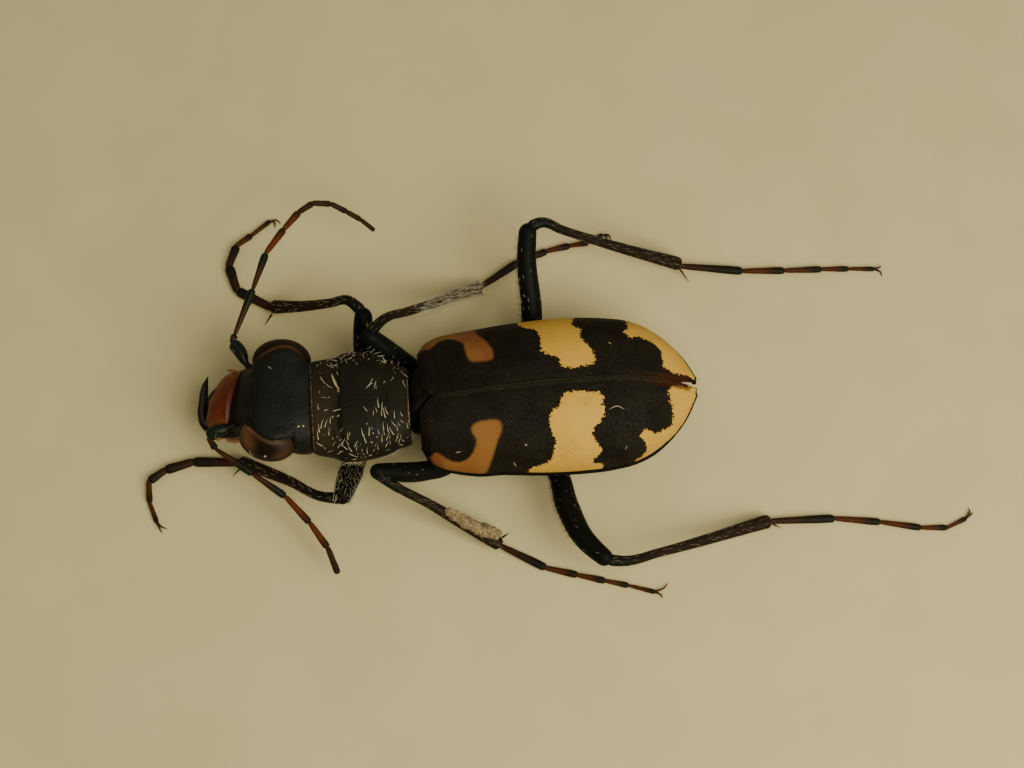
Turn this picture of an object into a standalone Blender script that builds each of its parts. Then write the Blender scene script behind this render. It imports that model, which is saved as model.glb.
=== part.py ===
"""Life-size model of a male tiger beetle that stands with its legs spread.

The shapes are worked out in millimetres, and finish_node scales them to metres.
X runs along the body with the head towards -X, +Y is the beetle's right side, and
+Z is up. Places are measured from the middle of the elytra's front edge, on the
floor, until finish_node moves the origin to the middle of the whole stance.
"""

import math
from dataclasses import dataclass, replace

import bmesh
import bpy
from mathutils import Matrix, Vector

# Scale and frame
METRES_PER_MM = 0.001
ORIGIN_X = 4.5
ORIGIN_Y = 0.75
GAP = 0.25
MERGE = 0.002

# Facets round each kind of piece
BODY_SIDES = 20
SHELL_SIDES = 24
LIMB_SIDES = 8
SMALL_SIDES = 6
COXA_SIDES = 12
COXA_RINGS = 5
EYE_SIDES = 16
EYE_RINGS = 9

# Round ends of limbs, as parts of the radius
END_LENGTH = 0.45
END_NARROWING = 0.72

# Where a segment's shoulder and its widest place lie, as parts of its length
SHOULDER = 0.18
WIDEST = 0.86

# Squareness of the cross-sections: 2 is an ellipse, more is squarer
HEAD_SQUARENESS = 2.4
TRUNK_SQUARENESS = 2.3
CORE_SQUARENESS = 2.2
SHELL_SQUARENESS = 2.25

# Head
NECK = Vector((-4.30, 0.03, 0.0))
HEAD_YAW = math.radians(12.0)
EYE_PLACE = 1.27
EYE_OFFSET = 1.42
EYE_HEIGHT = 3.45
EYE_RADII = (1.0, 0.91, 0.85)
FACE_SLOPE = math.radians(38.0)
LABRUM_PLACE = 2.86
LABRUM_HEIGHT = 3.02
LABRUM_LENGTH = 1.22
LABRUM_HALF_WIDTH = 1.12
LABRUM_THICKNESS = 0.5
LABRUM_CROWN = 0.22
LABRUM_STEPS = (0.0, 0.25, 0.5, 0.7, 0.86, 0.96)
FACE_DEPTH = 0.78

# Prothorax and the body under the elytra
PROTHORAX_FRONT = -4.30
PROTHORAX_REAR = -0.74
THORAX_FRONT = -0.46
THORAX_REAR = 4.2
REACH = 20.0

# Elytra and the plate between them
ELYTRA_FRONT = -0.36
SCUTELLUM_HALF_WIDTH = 0.46
SCUTELLUM_FRONT = -0.40
SCUTELLUM_TIP = 0.55
SCUTELLUM_BOTTOM = 4.0
SCUTELLUM_TOP = 4.48

# Legs, where no thickness is under half a millimetre but at the tips
THINNEST = 0.25
SHIN_END = 0.29
SHIN_TIP = 0.26
FOOT_CENTRE = 0.2
FOOT_START = 0.48
SPUR_AHEAD = 0.38
SPUR_ASIDE = 0.42
SPUR_ROOT_BACK = 0.22
SPUR_ROOT_ASIDE = 0.14
SPUR_FLOOR = 0.12
SPUR_RADIUS = 0.09
CLAW_LENGTH = 0.55
CLAW_SPLAY = 0.5
CLAW_ROOT = 0.1
CLAW_HEIGHT = 0.09
CLAW_RADIUS = 0.11
POINT_RADIUS = 0.04


@dataclass(frozen=True)
class Finish:
    """Colour, roughness and metallic value of one sub-part."""

    colour: tuple
    roughness: float
    metallic: float = 0.0


@dataclass(frozen=True)
class Station:
    """One cross-section of a body part, at its place along the part's own axis."""

    place: float
    half_width: float
    top: float
    bottom: float
    widest: float


@dataclass(frozen=True)
class ShellStation:
    """One cross-section of the elytra: half width, height of the crown and of the margin."""

    place: float
    half_width: float
    crown: float
    margin: float


@dataclass(frozen=True)
class Leg:
    """The joints of one leg, and how stout it is."""

    name: str
    hip: tuple
    waist: tuple
    knee: tuple
    ankle: tuple
    toes: tuple
    coxa: tuple
    coxa_radii: tuple
    thigh: tuple
    spread: float


BLACK = Finish((0.012, 0.014, 0.013), 0.5)
BLUE_BLACK = Finish((0.010, 0.016, 0.018), 0.45)
ELYTRA_BLACK = Finish((0.012, 0.013, 0.012), 0.6)
EYE_BROWN = Finish((0.035, 0.018, 0.010), 0.25)
LABRUM_RED = Finish((0.32, 0.06, 0.015), 0.35)
LIMB_BLACK = Finish((0.014, 0.012, 0.012), 0.35, 0.2)
TOE_RED = Finish((0.10, 0.025, 0.014), 0.4)
ANTENNA_GREEN = Finish((0.015, 0.030, 0.020), 0.35, 0.3)
ANTENNA_BROWN = Finish((0.060, 0.025, 0.015), 0.5)
PALP_CREAM = Finish((0.45, 0.30, 0.14), 0.45)

HEAD_STATIONS = (
    Station(-0.50, 1.62, 4.08, 2.05, 3.10),
    Station(0.30, 1.70, 4.20, 1.95, 3.15),
    Station(1.00, 1.72, 4.30, 1.90, 3.20),
    Station(1.60, 1.66, 4.22, 1.88, 3.10),
    Station(2.10, 1.50, 3.92, 1.86, 2.90),
    Station(2.55, 1.28, 3.42, 1.84, 2.60),
    Station(2.95, 1.05, 2.95, 1.82, 2.35),
)

PROTHORAX_STATIONS = (
    Station(PROTHORAX_FRONT, 1.80, 4.16, 2.10, 3.20),
    Station(-4.05, 1.87, 4.26, 2.02, 3.22),
    Station(-3.62, 1.83, 4.21, 1.98, 3.26),
    Station(-3.30, 1.90, 4.30, 1.96, 3.30),
    Station(-2.75, 2.03, 4.40, 1.95, 3.35),
    Station(-2.10, 1.97, 4.42, 1.95, 3.35),
    Station(-1.62, 1.76, 4.34, 1.96, 3.30),
    Station(-1.20, 1.55, 4.18, 2.02, 3.24),
    Station(-0.95, 1.49, 4.14, 2.06, 3.20),
    Station(PROTHORAX_REAR, 1.42, 4.02, 2.14, 3.14),
)

CORE_STATIONS = (
    Station(THORAX_FRONT, 0.95, 3.64, 2.05, 2.80),
    Station(0.10, 1.16, 3.66, 1.75, 2.70),
    Station(0.80, 1.66, 3.80, 1.60, 2.50),
    Station(1.80, 1.92, 3.98, 1.50, 2.40),
    Station(3.00, 2.04, 4.06, 1.45, 2.40),
    Station(4.20, 2.10, 4.08, 1.45, 2.40),
    Station(5.50, 2.12, 4.02, 1.45, 2.40),
    Station(6.70, 2.00, 3.88, 1.50, 2.40),
    Station(7.60, 1.70, 3.64, 1.62, 2.42),
    Station(8.30, 1.22, 3.34, 1.82, 2.46),
    Station(8.80, 0.60, 2.98, 2.06, 2.52),
)

SHELL_STATIONS = (
    ShellStation(ELYTRA_FRONT, 1.50, 4.22, 3.02),
    ShellStation(-0.10, 1.95, 4.36, 2.90),
    ShellStation(0.30, 2.34, 4.48, 2.76),
    ShellStation(0.90, 2.52, 4.60, 2.66),
    ShellStation(1.80, 2.68, 4.72, 2.60),
    ShellStation(2.90, 2.80, 4.80, 2.60),
    ShellStation(4.00, 2.88, 4.83, 2.60),
    ShellStation(5.30, 2.91, 4.79, 2.60),
    ShellStation(6.50, 2.83, 4.66, 2.60),
    ShellStation(7.40, 2.64, 4.46, 2.62),
    ShellStation(8.20, 2.22, 4.14, 2.66),
    ShellStation(8.85, 1.62, 3.78, 2.74),
    ShellStation(9.35, 0.86, 3.40, 2.84),
    ShellStation(9.66, 0.22, 3.14, 2.94),
)

FRONT_THIGH = (0.30, 0.38, 0.41, 0.38, 0.32)
MIDDLE_THIGH = (0.28, 0.33, 0.37, 0.35, 0.30)
HIND_THIGH = (0.28, 0.33, 0.36, 0.33, 0.27)
FRONT_COXA = (0.55, 0.62, 0.52)
MIDDLE_COXA = (0.60, 0.62, 0.46)
HIND_COXA = (0.50, 0.80, 0.44)

LEGS = (
    Leg(
        "front_right",
        (-2.15, 1.28, 1.30),
        (-2.22, 2.53, 2.28),
        (-2.28, 3.65, 3.20),
        (-5.71, 4.92, 0.37),
        ((-6.69, 5.78), (-7.16, 6.72), (-6.89, 7.58), (-6.35, 8.08), (-5.62, 8.28)),
        (-2.35, 0.62, 1.86),
        FRONT_COXA,
        FRONT_THIGH,
        0.33,
    ),
    Leg(
        "front_left",
        (-2.70, -1.18, 1.32),
        (-2.95, -1.98, 1.80),
        (-3.37, -3.35, 2.60),
        (-7.11, -1.09, 0.37),
        ((-8.84, -0.90), (-9.88, -1.16), (-10.48, -1.55), (-10.48, -2.33), (-10.23, -3.12)),
        (-2.35, -0.62, 1.86),
        FRONT_COXA,
        FRONT_THIGH,
        0.33,
    ),
    Leg(
        "middle_right",
        (0.20, 1.30, 0.98),
        (-1.00, 2.06, 2.54),
        (-2.06, 2.57, 4.10),
        (2.03, 5.20, 0.37),
        ((3.53, 6.17), (4.60, 6.54), (5.46, 6.70), (6.16, 6.78), (6.80, 7.10)),
        (0.50, 0.62, 1.45),
        MIDDLE_COXA,
        MIDDLE_THIGH,
        0.28,
    ),
    Leg(
        "middle_left",
        (0.62, -1.40, 0.98),
        (-0.31, -2.10, 1.74),
        (-2.19, -2.58, 3.30),
        (2.24, -4.62, 0.37),
        ((3.61, -5.53), (4.73, -5.94), (5.84, -6.25), (6.83, -6.49), (7.72, -6.74)),
        (0.50, -0.62, 1.45),
        MIDDLE_COXA,
        MIDDLE_THIGH,
        0.28,
    ),
    Leg(
        "hind_right",
        (3.66, 1.50, 1.08),
        (3.80, 3.12, 1.98),
        (3.88, 6.23, 3.60),
        (9.64, 5.56, 0.37),
        ((11.82, 5.30), (13.37, 5.23), (14.75, 5.20), (15.75, 5.16), (16.70, 5.10)),
        (3.40, 0.72, 1.44),
        HIND_COXA,
        HIND_THIGH,
        0.27,
    ),
    Leg(
        "hind_left",
        (3.82, -1.50, 1.08),
        (4.55, -2.94, 1.88),
        (5.89, -6.27, 2.90),
        (12.10, -4.45, 0.37),
        ((14.48, -4.44), (16.13, -4.67), (17.59, -4.97), (18.55, -5.02), (19.26, -4.70)),
        (3.40, -0.72, 1.44),
        HIND_COXA,
        HIND_THIGH,
        0.27,
    ),
)

# Joints of the feelers, from the socket to the tip
RIGHT_SCAPE = ((-6.45, 1.72, 2.86), (-6.72, 2.30, 2.92), (-7.02, 2.74, 3.00))
RIGHT_FLAGELLUM = (
    (-7.00, 2.80, 3.02),
    (-6.20, 4.56, 3.40),
    (-5.67, 5.88, 3.50),
    (-4.98, 6.81, 3.40),
    (-4.42, 7.51, 3.20),
    (-3.90, 7.90, 3.00),
    (-3.25, 7.94, 2.70),
    (-2.69, 7.70, 2.40),
    (-2.20, 7.47, 2.10),
    (-1.73, 7.13, 1.80),
)
LEFT_SCAPE = ((-7.02, -0.42, 2.94), (-7.60, -0.66, 2.90), (-8.04, -0.84, 2.76))
LEFT_FLAGELLUM = (
    (-8.02, -0.88, 2.70),
    (-6.53, -2.12, 2.26),
    (-5.41, -2.90, 1.80),
    (-4.58, -3.86, 1.50),
    (-3.98, -4.78, 1.30),
    (-3.66, -5.72, 1.10),
)
SCAPE_RADII = (0.25, 0.28, 0.29)
FEELER_BASE = 0.28
FEELER_START = 0.60
RIGHT_SPLIT = 4
LEFT_SPLIT = 3

# Mandibles and palps, as place ahead of the neck, offset to the right, and height
LEFT_MANDIBLE = (
    (2.70, -0.92, 1.86),
    (3.24, -0.85, 1.74),
    (3.79, -0.59, 1.64),
    (4.06, -0.05, 1.60),
    (4.10, 0.50, 1.64),
    (4.02, 1.00, 1.74),
)
RIGHT_MANDIBLE = (
    (2.70, 0.92, 1.62),
    (3.28, 0.95, 1.16),
    (3.80, 0.55, 0.90),
    (4.02, 0.00, 0.86),
    (4.06, -0.42, 0.86),
    (3.98, -0.78, 0.88),
)
MANDIBLE_RADII = (0.30, 0.28, 0.26, 0.25, 0.20, 0.07)
LEFT_PALP = ((2.20, -0.50, 1.50), (2.80, -0.80, 0.98), (3.40, -0.95, 0.74))
RIGHT_PALP = ((1.80, 0.80, 1.55), (2.25, 1.45, 1.22), (2.60, 1.78, 0.98))
PALP_RADII = (0.25, 0.26, 0.22)


def clear_scene():
    """Removes every object, so that the script can be run again."""
    for item in list(bpy.data.objects):
        bpy.data.objects.remove(item, do_unlink=True)


def solid_from_rings(rings):
    """A closed mesh object over a stack of rings, with a point at each end."""
    shape = bmesh.new()
    loops = [[shape.verts.new(point) for point in ring] for ring in rings]
    for lower, upper in zip(loops, loops[1:]):
        for here, there in wrapped_pairs(len(lower)):
            shape.faces.new((lower[here], lower[there], upper[there], upper[here]))
    for loop in (loops[0], loops[-1]):
        middle = sum((vert.co for vert in loop), Vector()) / len(loop)
        point = shape.verts.new(middle)
        for here, there in wrapped_pairs(len(loop)):
            shape.faces.new((loop[here], loop[there], point))
    bmesh.ops.recalc_face_normals(shape, faces=shape.faces)
    bmesh.ops.triangulate(shape, faces=shape.faces)
    mesh = bpy.data.meshes.new("solid")
    shape.to_mesh(mesh)
    shape.free()
    item = bpy.data.objects.new("solid", mesh)
    bpy.context.scene.collection.objects.link(item)
    return item


def wrapped_pairs(count):
    """Each index of a closed loop with the index after it."""
    return [(index, (index + 1) % count) for index in range(count)]


def rounded(angle, power):
    """Cosine and sine of an angle, squared off by a superellipse's power."""
    across = math.cos(angle)
    upward = math.sin(angle)
    bend = 2.0 / power
    return (
        math.copysign(abs(across) ** bend, across),
        math.copysign(abs(upward) ** bend, upward),
    )


def ring_angles(sides):
    """Angles of a ring whose lowest side lies level."""
    return [2.0 * math.pi * (index + 0.5) / sides for index in range(sides)]


def limb_solid(points, radii, sides=LIMB_SIDES, on_floor=False, grow=0.0):
    """A round-ended limb along a line of points, flattened where it meets the floor."""
    line = [Vector(point) for point in points]
    steps = [(after - before).normalized() for before, after in zip(line, line[1:])]
    headings = [steps[0]]
    headings += [(before + after).normalized() for before, after in zip(steps, steps[1:])]
    headings.append(steps[-1])
    places = [(point, radius + grow, heading) for point, radius, heading in zip(line, radii, headings)]
    for index, outward in ((0, -1.0), (-1, 1.0)):
        centre, radius, heading = places[index]
        reach = outward * (END_LENGTH * (radius - grow) + grow)
        end = (centre + heading * reach, radius * END_NARROWING, heading)
        places.insert(0 if outward < 0 else len(places), end)
    rings = []
    for centre, radius, heading in places:
        side = heading.cross(Vector((0, 0, 1))).normalized()
        upward = side.cross(heading).normalized()
        ring = []
        for angle in ring_angles(sides):
            point = centre + side * radius * math.cos(angle)
            point += upward * radius * math.sin(angle)
            if on_floor:
                point.z = max(point.z, 0.0)
            ring.append(point)
        rings.append(ring)
    return solid_from_rings(rings)


def body_solid(stations, place_point, sides=BODY_SIDES, power=TRUNK_SQUARENESS, grow=0.0):
    """A loft through cross-sections; place_point turns place, offset and height into a point."""
    rings = []
    if grow:
        first, last = stations[0], stations[-1]
        before = replace(first, place=first.place - grow)
        after = replace(last, place=last.place + grow)
        stations = (before, *stations, after)
    for station in stations:
        ring = []
        for angle in ring_angles(sides):
            across, upward = rounded(angle, power)
            reach = station.top - station.widest if upward > 0 else station.widest - station.bottom
            offset = (station.half_width + grow) * across
            ring.append(place_point(station.place, offset, station.widest + (reach + grow) * upward))
        rings.append(ring)
    return solid_from_rings(rings)


def along_body(place, offset, height):
    """A point of the trunk from its place along X, its offset and its height."""
    return Vector((place, offset, height))


def along_head(place, offset, height):
    """A point of the head from its place ahead of the neck, offset and height."""
    ahead = Vector((-math.cos(HEAD_YAW), math.sin(HEAD_YAW), 0.0))
    aside = Vector((math.sin(HEAD_YAW), math.cos(HEAD_YAW), 0.0))
    return NECK + ahead * place + aside * offset + Vector((0.0, 0.0, height))


def ball_solid(centre, radii, place_point, sides, rings, grow=0.0):
    """An ellipsoid with its axes along place, offset and height."""
    length, width, rise = (radius + grow for radius in radii)
    loops = []
    for index in range(1, rings + 1):
        turn = math.pi * index / (rings + 1)
        place = centre[0] - length * math.cos(turn)
        loop = []
        for angle in ring_angles(sides):
            offset = centre[1] + width * math.sin(turn) * math.cos(angle)
            height = centre[2] + rise * math.sin(turn) * math.sin(angle)
            loop.append(place_point(place, offset, height))
        loops.append(loop)
    return solid_from_rings(loops)


def box_solid(low, high):
    """A box between two corners."""
    ring = ((low[0], low[1]), (high[0], low[1]), (high[0], high[1]), (low[0], high[1]))
    return solid_from_rings([[Vector((x, y, z)) for x, y in ring] for z in (low[2], high[2])])


def combine(item, operation, others):
    """One Boolean of an object with a collection of others, which are then removed."""
    tools = bpy.data.collections.new("tools")
    bpy.context.scene.collection.children.link(tools)
    for other in others:
        bpy.context.scene.collection.objects.unlink(other)
        tools.objects.link(other)
    modifier = item.modifiers.new("combine", "BOOLEAN")
    modifier.operation = operation
    modifier.operand_type = "COLLECTION"
    modifier.collection = tools
    modifier.solver = "EXACT"
    graph = bpy.context.evaluated_depsgraph_get()
    result = bpy.data.meshes.new_from_object(item.evaluated_get(graph))
    item.modifiers.clear()
    item.data = result
    for other in others:
        bpy.data.objects.remove(other, do_unlink=True)
    bpy.data.collections.remove(tools)


def keep_largest(item):
    """Keeps only the largest closed surface of an object's mesh."""
    shape = bmesh.new()
    shape.from_mesh(item.data)
    bmesh.ops.remove_doubles(shape, verts=shape.verts, dist=MERGE)
    bmesh.ops.dissolve_degenerate(shape, edges=shape.edges, dist=MERGE)
    bmesh.ops.triangulate(shape, faces=shape.faces)
    unseen = set(shape.faces)
    islands = []
    while unseen:
        queue = [unseen.pop()]
        island = list(queue)
        while queue:
            for edge in queue.pop().edges:
                for face in edge.link_faces:
                    if face in unseen:
                        unseen.discard(face)
                        queue.append(face)
                        island.append(face)
        islands.append(island)
    islands.sort(key=lambda faces: sum(face.calc_area() for face in faces))
    spare = [face for island in islands[:-1] for face in island]
    bmesh.ops.delete(shape, geom=spare, context="FACES")
    shape.to_mesh(item.data)
    shape.free()


def material_for(name, finish):
    """A Principled material with one finish."""
    material = bpy.data.materials.new(name)
    material.use_nodes = True
    shader = material.node_tree.nodes["Principled BSDF"]
    shader.inputs["Base Color"].default_value = (*finish.colour, 1.0)
    shader.inputs["Roughness"].default_value = finish.roughness
    shader.inputs["Metallic"].default_value = finish.metallic
    return material


def finish_node(name, finish, pieces, cutters=()):
    """Joins and cuts the pieces into one named closed solid, in metres."""
    item = pieces[0]
    if len(pieces) > 1:
        combine(item, "UNION", pieces[1:])
    if cutters:
        combine(item, "DIFFERENCE", list(cutters))
    keep_largest(item)
    shift = Matrix.Translation((-ORIGIN_X, -ORIGIN_Y, 0.0))
    item.data.transform(Matrix.Scale(METRES_PER_MM, 4) @ shift)
    item.name = name
    item.data.name = name
    item.data.shade_smooth()
    item.data.set_sharp_from_angle(angle=math.radians(40.0))
    item.data.materials.clear()
    item.data.materials.append(material_for(name, finish))
    return item


def head_solid(grow=0.0):
    """The head without eyes, mouthparts and feelers."""
    return body_solid(HEAD_STATIONS, along_head, power=HEAD_SQUARENESS, grow=grow)


def eye_solid(side, grow=0.0):
    """One bulging eye; side is 1 for the right one and -1 for the left one."""
    centre = (EYE_PLACE, side * EYE_OFFSET, EYE_HEIGHT)
    return ball_solid(centre, EYE_RADII, along_head, EYE_SIDES, EYE_RINGS, grow)


def face_point(along, offset, outward):
    """A point of the sloping face from its place down the face, offset and height above it."""
    place = LABRUM_PLACE + along * math.cos(FACE_SLOPE) + outward * math.sin(FACE_SLOPE)
    height = LABRUM_HEIGHT - along * math.sin(FACE_SLOPE) + outward * math.cos(FACE_SLOPE)
    return along_head(place, offset, height)


def labrum_solid(grow=0.0):
    """The domed upper lip, round at its front edge."""
    rings = []
    for part in LABRUM_STEPS:
        narrowing = math.sqrt(1.0 - part * part)
        width = LABRUM_HALF_WIDTH * narrowing + grow
        thickness = 0.5 * LABRUM_THICKNESS * 0.5 * (1.0 + narrowing) + grow
        ring = []
        for angle in ring_angles(BODY_SIDES):
            across, upward = rounded(angle, CORE_SQUARENESS)
            crown = LABRUM_CROWN * (1.0 - (narrowing * across) ** 2) * (1.0 - part * part)
            outward = thickness * upward + crown - 0.5 * LABRUM_THICKNESS
            ring.append(face_point((LABRUM_LENGTH + grow) * part, width * across, outward))
        rings.append(ring)
    return solid_from_rings(rings)


def face_cutter():
    """A block that cuts the head square where the upper lip meets it."""
    corners = ((-GAP, -REACH), (REACH, -REACH), (REACH, REACH), (-GAP, REACH))
    rings = []
    for outward in (-FACE_DEPTH, REACH):
        rings.append([face_point(along, offset, outward) for along, offset in corners])
    return solid_from_rings(rings)


def neck_cutter():
    """A block that takes away what would reach into the prothorax."""
    return box_solid((PROTHORAX_FRONT - GAP, -REACH, -REACH), (REACH, REACH, REACH))


def build_head():
    """Head, eyes, upper lip, mandibles and palps."""
    cutters = [neck_cutter(), face_cutter(), eye_solid(1, GAP), eye_solid(-1, GAP)]
    finish_node("head", BLUE_BLACK, [head_solid()], cutters)
    finish_node("eye_right", EYE_BROWN, [eye_solid(1)], [neck_cutter()])
    finish_node("eye_left", EYE_BROWN, [eye_solid(-1)], [neck_cutter()])
    finish_node("labrum", LABRUM_RED, [labrum_solid()])
    mouthparts = (
        ("mandible_left", LEFT_MANDIBLE, MANDIBLE_RADII, BLACK),
        ("mandible_right", RIGHT_MANDIBLE, MANDIBLE_RADII, BLACK),
        ("palp_left", LEFT_PALP, PALP_RADII, PALP_CREAM),
        ("palp_right", RIGHT_PALP, PALP_RADII, PALP_CREAM),
    )
    for name, route, radii, finish in mouthparts:
        points = [along_head(*place) for place in route]
        finish_node(name, finish, [limb_solid(points, radii)], [head_solid(GAP)])


def stepped(start, end, length):
    """The point at a length along the way from start to end."""
    return start + (end - start).normalized() * length


def jointed_limb(joints, base, tip, waist, **shape):
    """A limb of segments that widen from their base to their tip, with a waist at each joint."""
    points = []
    radii = []
    count = len(joints) - 1
    for index in range(count):
        start = Vector(joints[index])
        end = Vector(joints[index + 1])
        wide = tip + (base - tip) * (1.0 - index / max(count - 1, 1))
        for part, radius in ((0.0, waist), (SHOULDER, 0.5 * (wide + waist)), (WIDEST, wide)):
            points.append(start.lerp(end, part))
            radii.append(radius)
    points.append(Vector(joints[-1]))
    radii.append(waist)
    return limb_solid(points, radii, **shape)


def build_feelers():
    """Both feelers; the left one ends at its seventh segment."""
    for side, route in (("right", RIGHT_SCAPE), ("left", LEFT_SCAPE)):
        cutters = [head_solid(GAP), labrum_solid(GAP)]
        finish_node(f"antenna_{side}_scape", ANTENNA_GREEN, [limb_solid(route, SCAPE_RADII)], cutters)
    lengths = (
        ("antenna_right_base", RIGHT_FLAGELLUM[:RIGHT_SPLIT], ANTENNA_GREEN),
        ("antenna_right_tip", RIGHT_FLAGELLUM[RIGHT_SPLIT - 1 :], ANTENNA_BROWN),
        ("antenna_left_base", LEFT_FLAGELLUM[:LEFT_SPLIT], ANTENNA_GREEN),
        ("antenna_left_tip", LEFT_FLAGELLUM[LEFT_SPLIT - 1 :], ANTENNA_BROWN),
    )
    for name, route, finish in lengths:
        joints = [Vector(joint) for joint in route]
        joints[0] = stepped(joints[0], joints[1], FEELER_START)
        finish_node(name, finish, [jointed_limb(joints, FEELER_BASE, THINNEST, THINNEST)])


def coxa_solid(leg, grow=0.0):
    """The round hip piece that a leg grows from."""
    return ball_solid(leg.coxa, leg.coxa_radii, along_body, COXA_SIDES, COXA_RINGS, grow)


def core_solid(grow=0.0):
    """The trunk under the elytra, before it is parted."""
    return body_solid(CORE_STATIONS, along_body, power=CORE_SQUARENESS, grow=grow)


def build_trunk():
    """Prothorax, the trunk's two lengths under the elytra, and the elytra themselves."""
    front_hips = [coxa_solid(leg) for leg in LEGS if leg.coxa_radii == FRONT_COXA]
    finish_node("prothorax", BLACK, [body_solid(PROTHORAX_STATIONS, along_body), *front_hips])

    hips = [coxa_solid(leg) for leg in LEGS if leg.coxa_radii != FRONT_COXA]
    behind = box_solid((THORAX_REAR, -REACH, -REACH), (REACH, REACH, REACH))
    finish_node("thorax", BLACK, [core_solid(), *hips], [behind])
    ahead = box_solid((-REACH, -REACH, -REACH), (THORAX_REAR + GAP, REACH, REACH))
    finish_node("abdomen", BLACK, [core_solid()], [ahead])

    finish_node("scutellum", BLACK, [scutellum_solid()])
    right_half = box_solid((-REACH, -0.5 * GAP, -REACH), (REACH, REACH, REACH))
    left_half = box_solid((-REACH, -REACH, -REACH), (REACH, 0.5 * GAP, REACH))
    for name, other_half in (("elytron_right", left_half), ("elytron_left", right_half)):
        cutters = [core_solid(GAP), scutellum_solid(GAP), other_half]
        finish_node(name, ELYTRA_BLACK, [elytra_solid()], cutters)


def scutellum_solid(grow=0.0):
    """The small three-cornered plate between the elytra, in front of the suture."""
    length = SCUTELLUM_TIP - SCUTELLUM_FRONT
    slope = SCUTELLUM_HALF_WIDTH / length
    blunt = 0.1 * SCUTELLUM_HALF_WIDTH
    tip = SCUTELLUM_TIP + grow / math.sin(math.atan(slope))
    front = SCUTELLUM_FRONT - 2.0 * grow
    half = slope * (tip - front)
    outline = ((front, -half), (tip, -blunt), (tip, blunt), (front, half))
    rings = []
    for height in (SCUTELLUM_BOTTOM - 2.0 * grow, SCUTELLUM_TOP + 2.0 * grow):
        rings.append([Vector((x, y, height)) for x, y in outline])
    return solid_from_rings(rings)


def elytra_solid():
    """Both elytra as one closed dome, before they are parted and hollowed."""
    rings = []
    for station in SHELL_STATIONS:
        ring = []
        for index in range(SHELL_SIDES):
            across, upward = rounded(math.pi * index / (SHELL_SIDES - 1), SHELL_SQUARENESS)
            height = station.margin + (station.crown - station.margin) * upward
            ring.append(Vector((station.place, station.half_width * across, height)))
        rings.append(ring)
    return solid_from_rings(rings)


def build_leg(leg):
    """Thigh, shin with its two spurs, and the foot with its two claws."""
    hip, waist, knee, ankle = (Vector(point) for point in (leg.hip, leg.waist, leg.knee, leg.ankle))
    route = [hip, hip.lerp(waist, 0.5), waist, waist.lerp(knee, 0.5), knee]
    thigh = limb_solid(route, leg.thigh)
    finish_node(f"femur_{leg.name}", LIMB_BLACK, [thigh], [coxa_solid(leg, GAP)])

    heading = (ankle - knee).normalized()
    side = heading.cross(Vector((0, 0, 1))).normalized()
    shin = [knee.lerp(ankle, part) for part in (0.0, 0.3, 0.7, 0.93, 1.0)]
    pieces = [limb_solid(shin, (THINNEST, THINNEST, THINNEST, SHIN_END, SHIN_TIP))]
    for turn in (side, -side):
        root = ankle - heading * SPUR_ROOT_BACK + turn * SPUR_ROOT_ASIDE
        point = root + heading * SPUR_AHEAD + turn * SPUR_ASIDE
        point.z = max(point.z, SPUR_FLOOR)
        pieces.append(limb_solid((root, point), (SPUR_RADIUS, POINT_RADIUS), sides=SMALL_SIDES))
    finish_node(f"tibia_{leg.name}", LIMB_BLACK, pieces, [limb_solid(route, leg.thigh, grow=GAP)])

    joints = [Vector((x, y, FOOT_CENTRE)) for x, y in leg.toes]
    start = Vector((ankle.x, ankle.y, FOOT_CENTRE))
    joints.insert(0, stepped(start, joints[0], FOOT_START))
    pieces = [jointed_limb(joints, leg.spread, THINNEST, THINNEST, on_floor=True)]
    heading = (joints[-1] - joints[-2]).normalized()
    side = heading.cross(Vector((0, 0, 1))).normalized()
    for turn in (side, -side):
        root = joints[-1] + (turn - heading) * CLAW_ROOT
        bend = root + (heading + turn * CLAW_SPLAY) * 0.6 * CLAW_LENGTH
        point = bend + heading * 0.6 * CLAW_LENGTH
        point.z = CLAW_HEIGHT
        radii = (CLAW_RADIUS, 0.7 * CLAW_RADIUS, POINT_RADIUS)
        pieces.append(limb_solid((root, bend, point), radii, sides=SMALL_SIDES, on_floor=True))
    finish_node(f"tarsus_{leg.name}", TOE_RED, pieces)


def main():
    """Builds every node of the beetle."""
    clear_scene()
    build_head()
    build_feelers()
    build_trunk()
    for leg in LEGS:
        build_leg(leg)


main()
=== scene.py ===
"""Museum model of a male tiger beetle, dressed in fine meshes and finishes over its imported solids.

Sizes are in millimetres in the beetle's own layout: X along the body with the head towards -X,
+Y the beetle's right side, Z up from the floor, and the origin under the middle of the elytra's
front edge. Mould.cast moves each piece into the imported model's frame, in metres.
"""

import logging
import math
from collections.abc import Sequence
from dataclasses import dataclass, field
from enum import Enum
from functools import cache

import bpy
import numpy as np
from mathutils import Matrix, Vector

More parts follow.
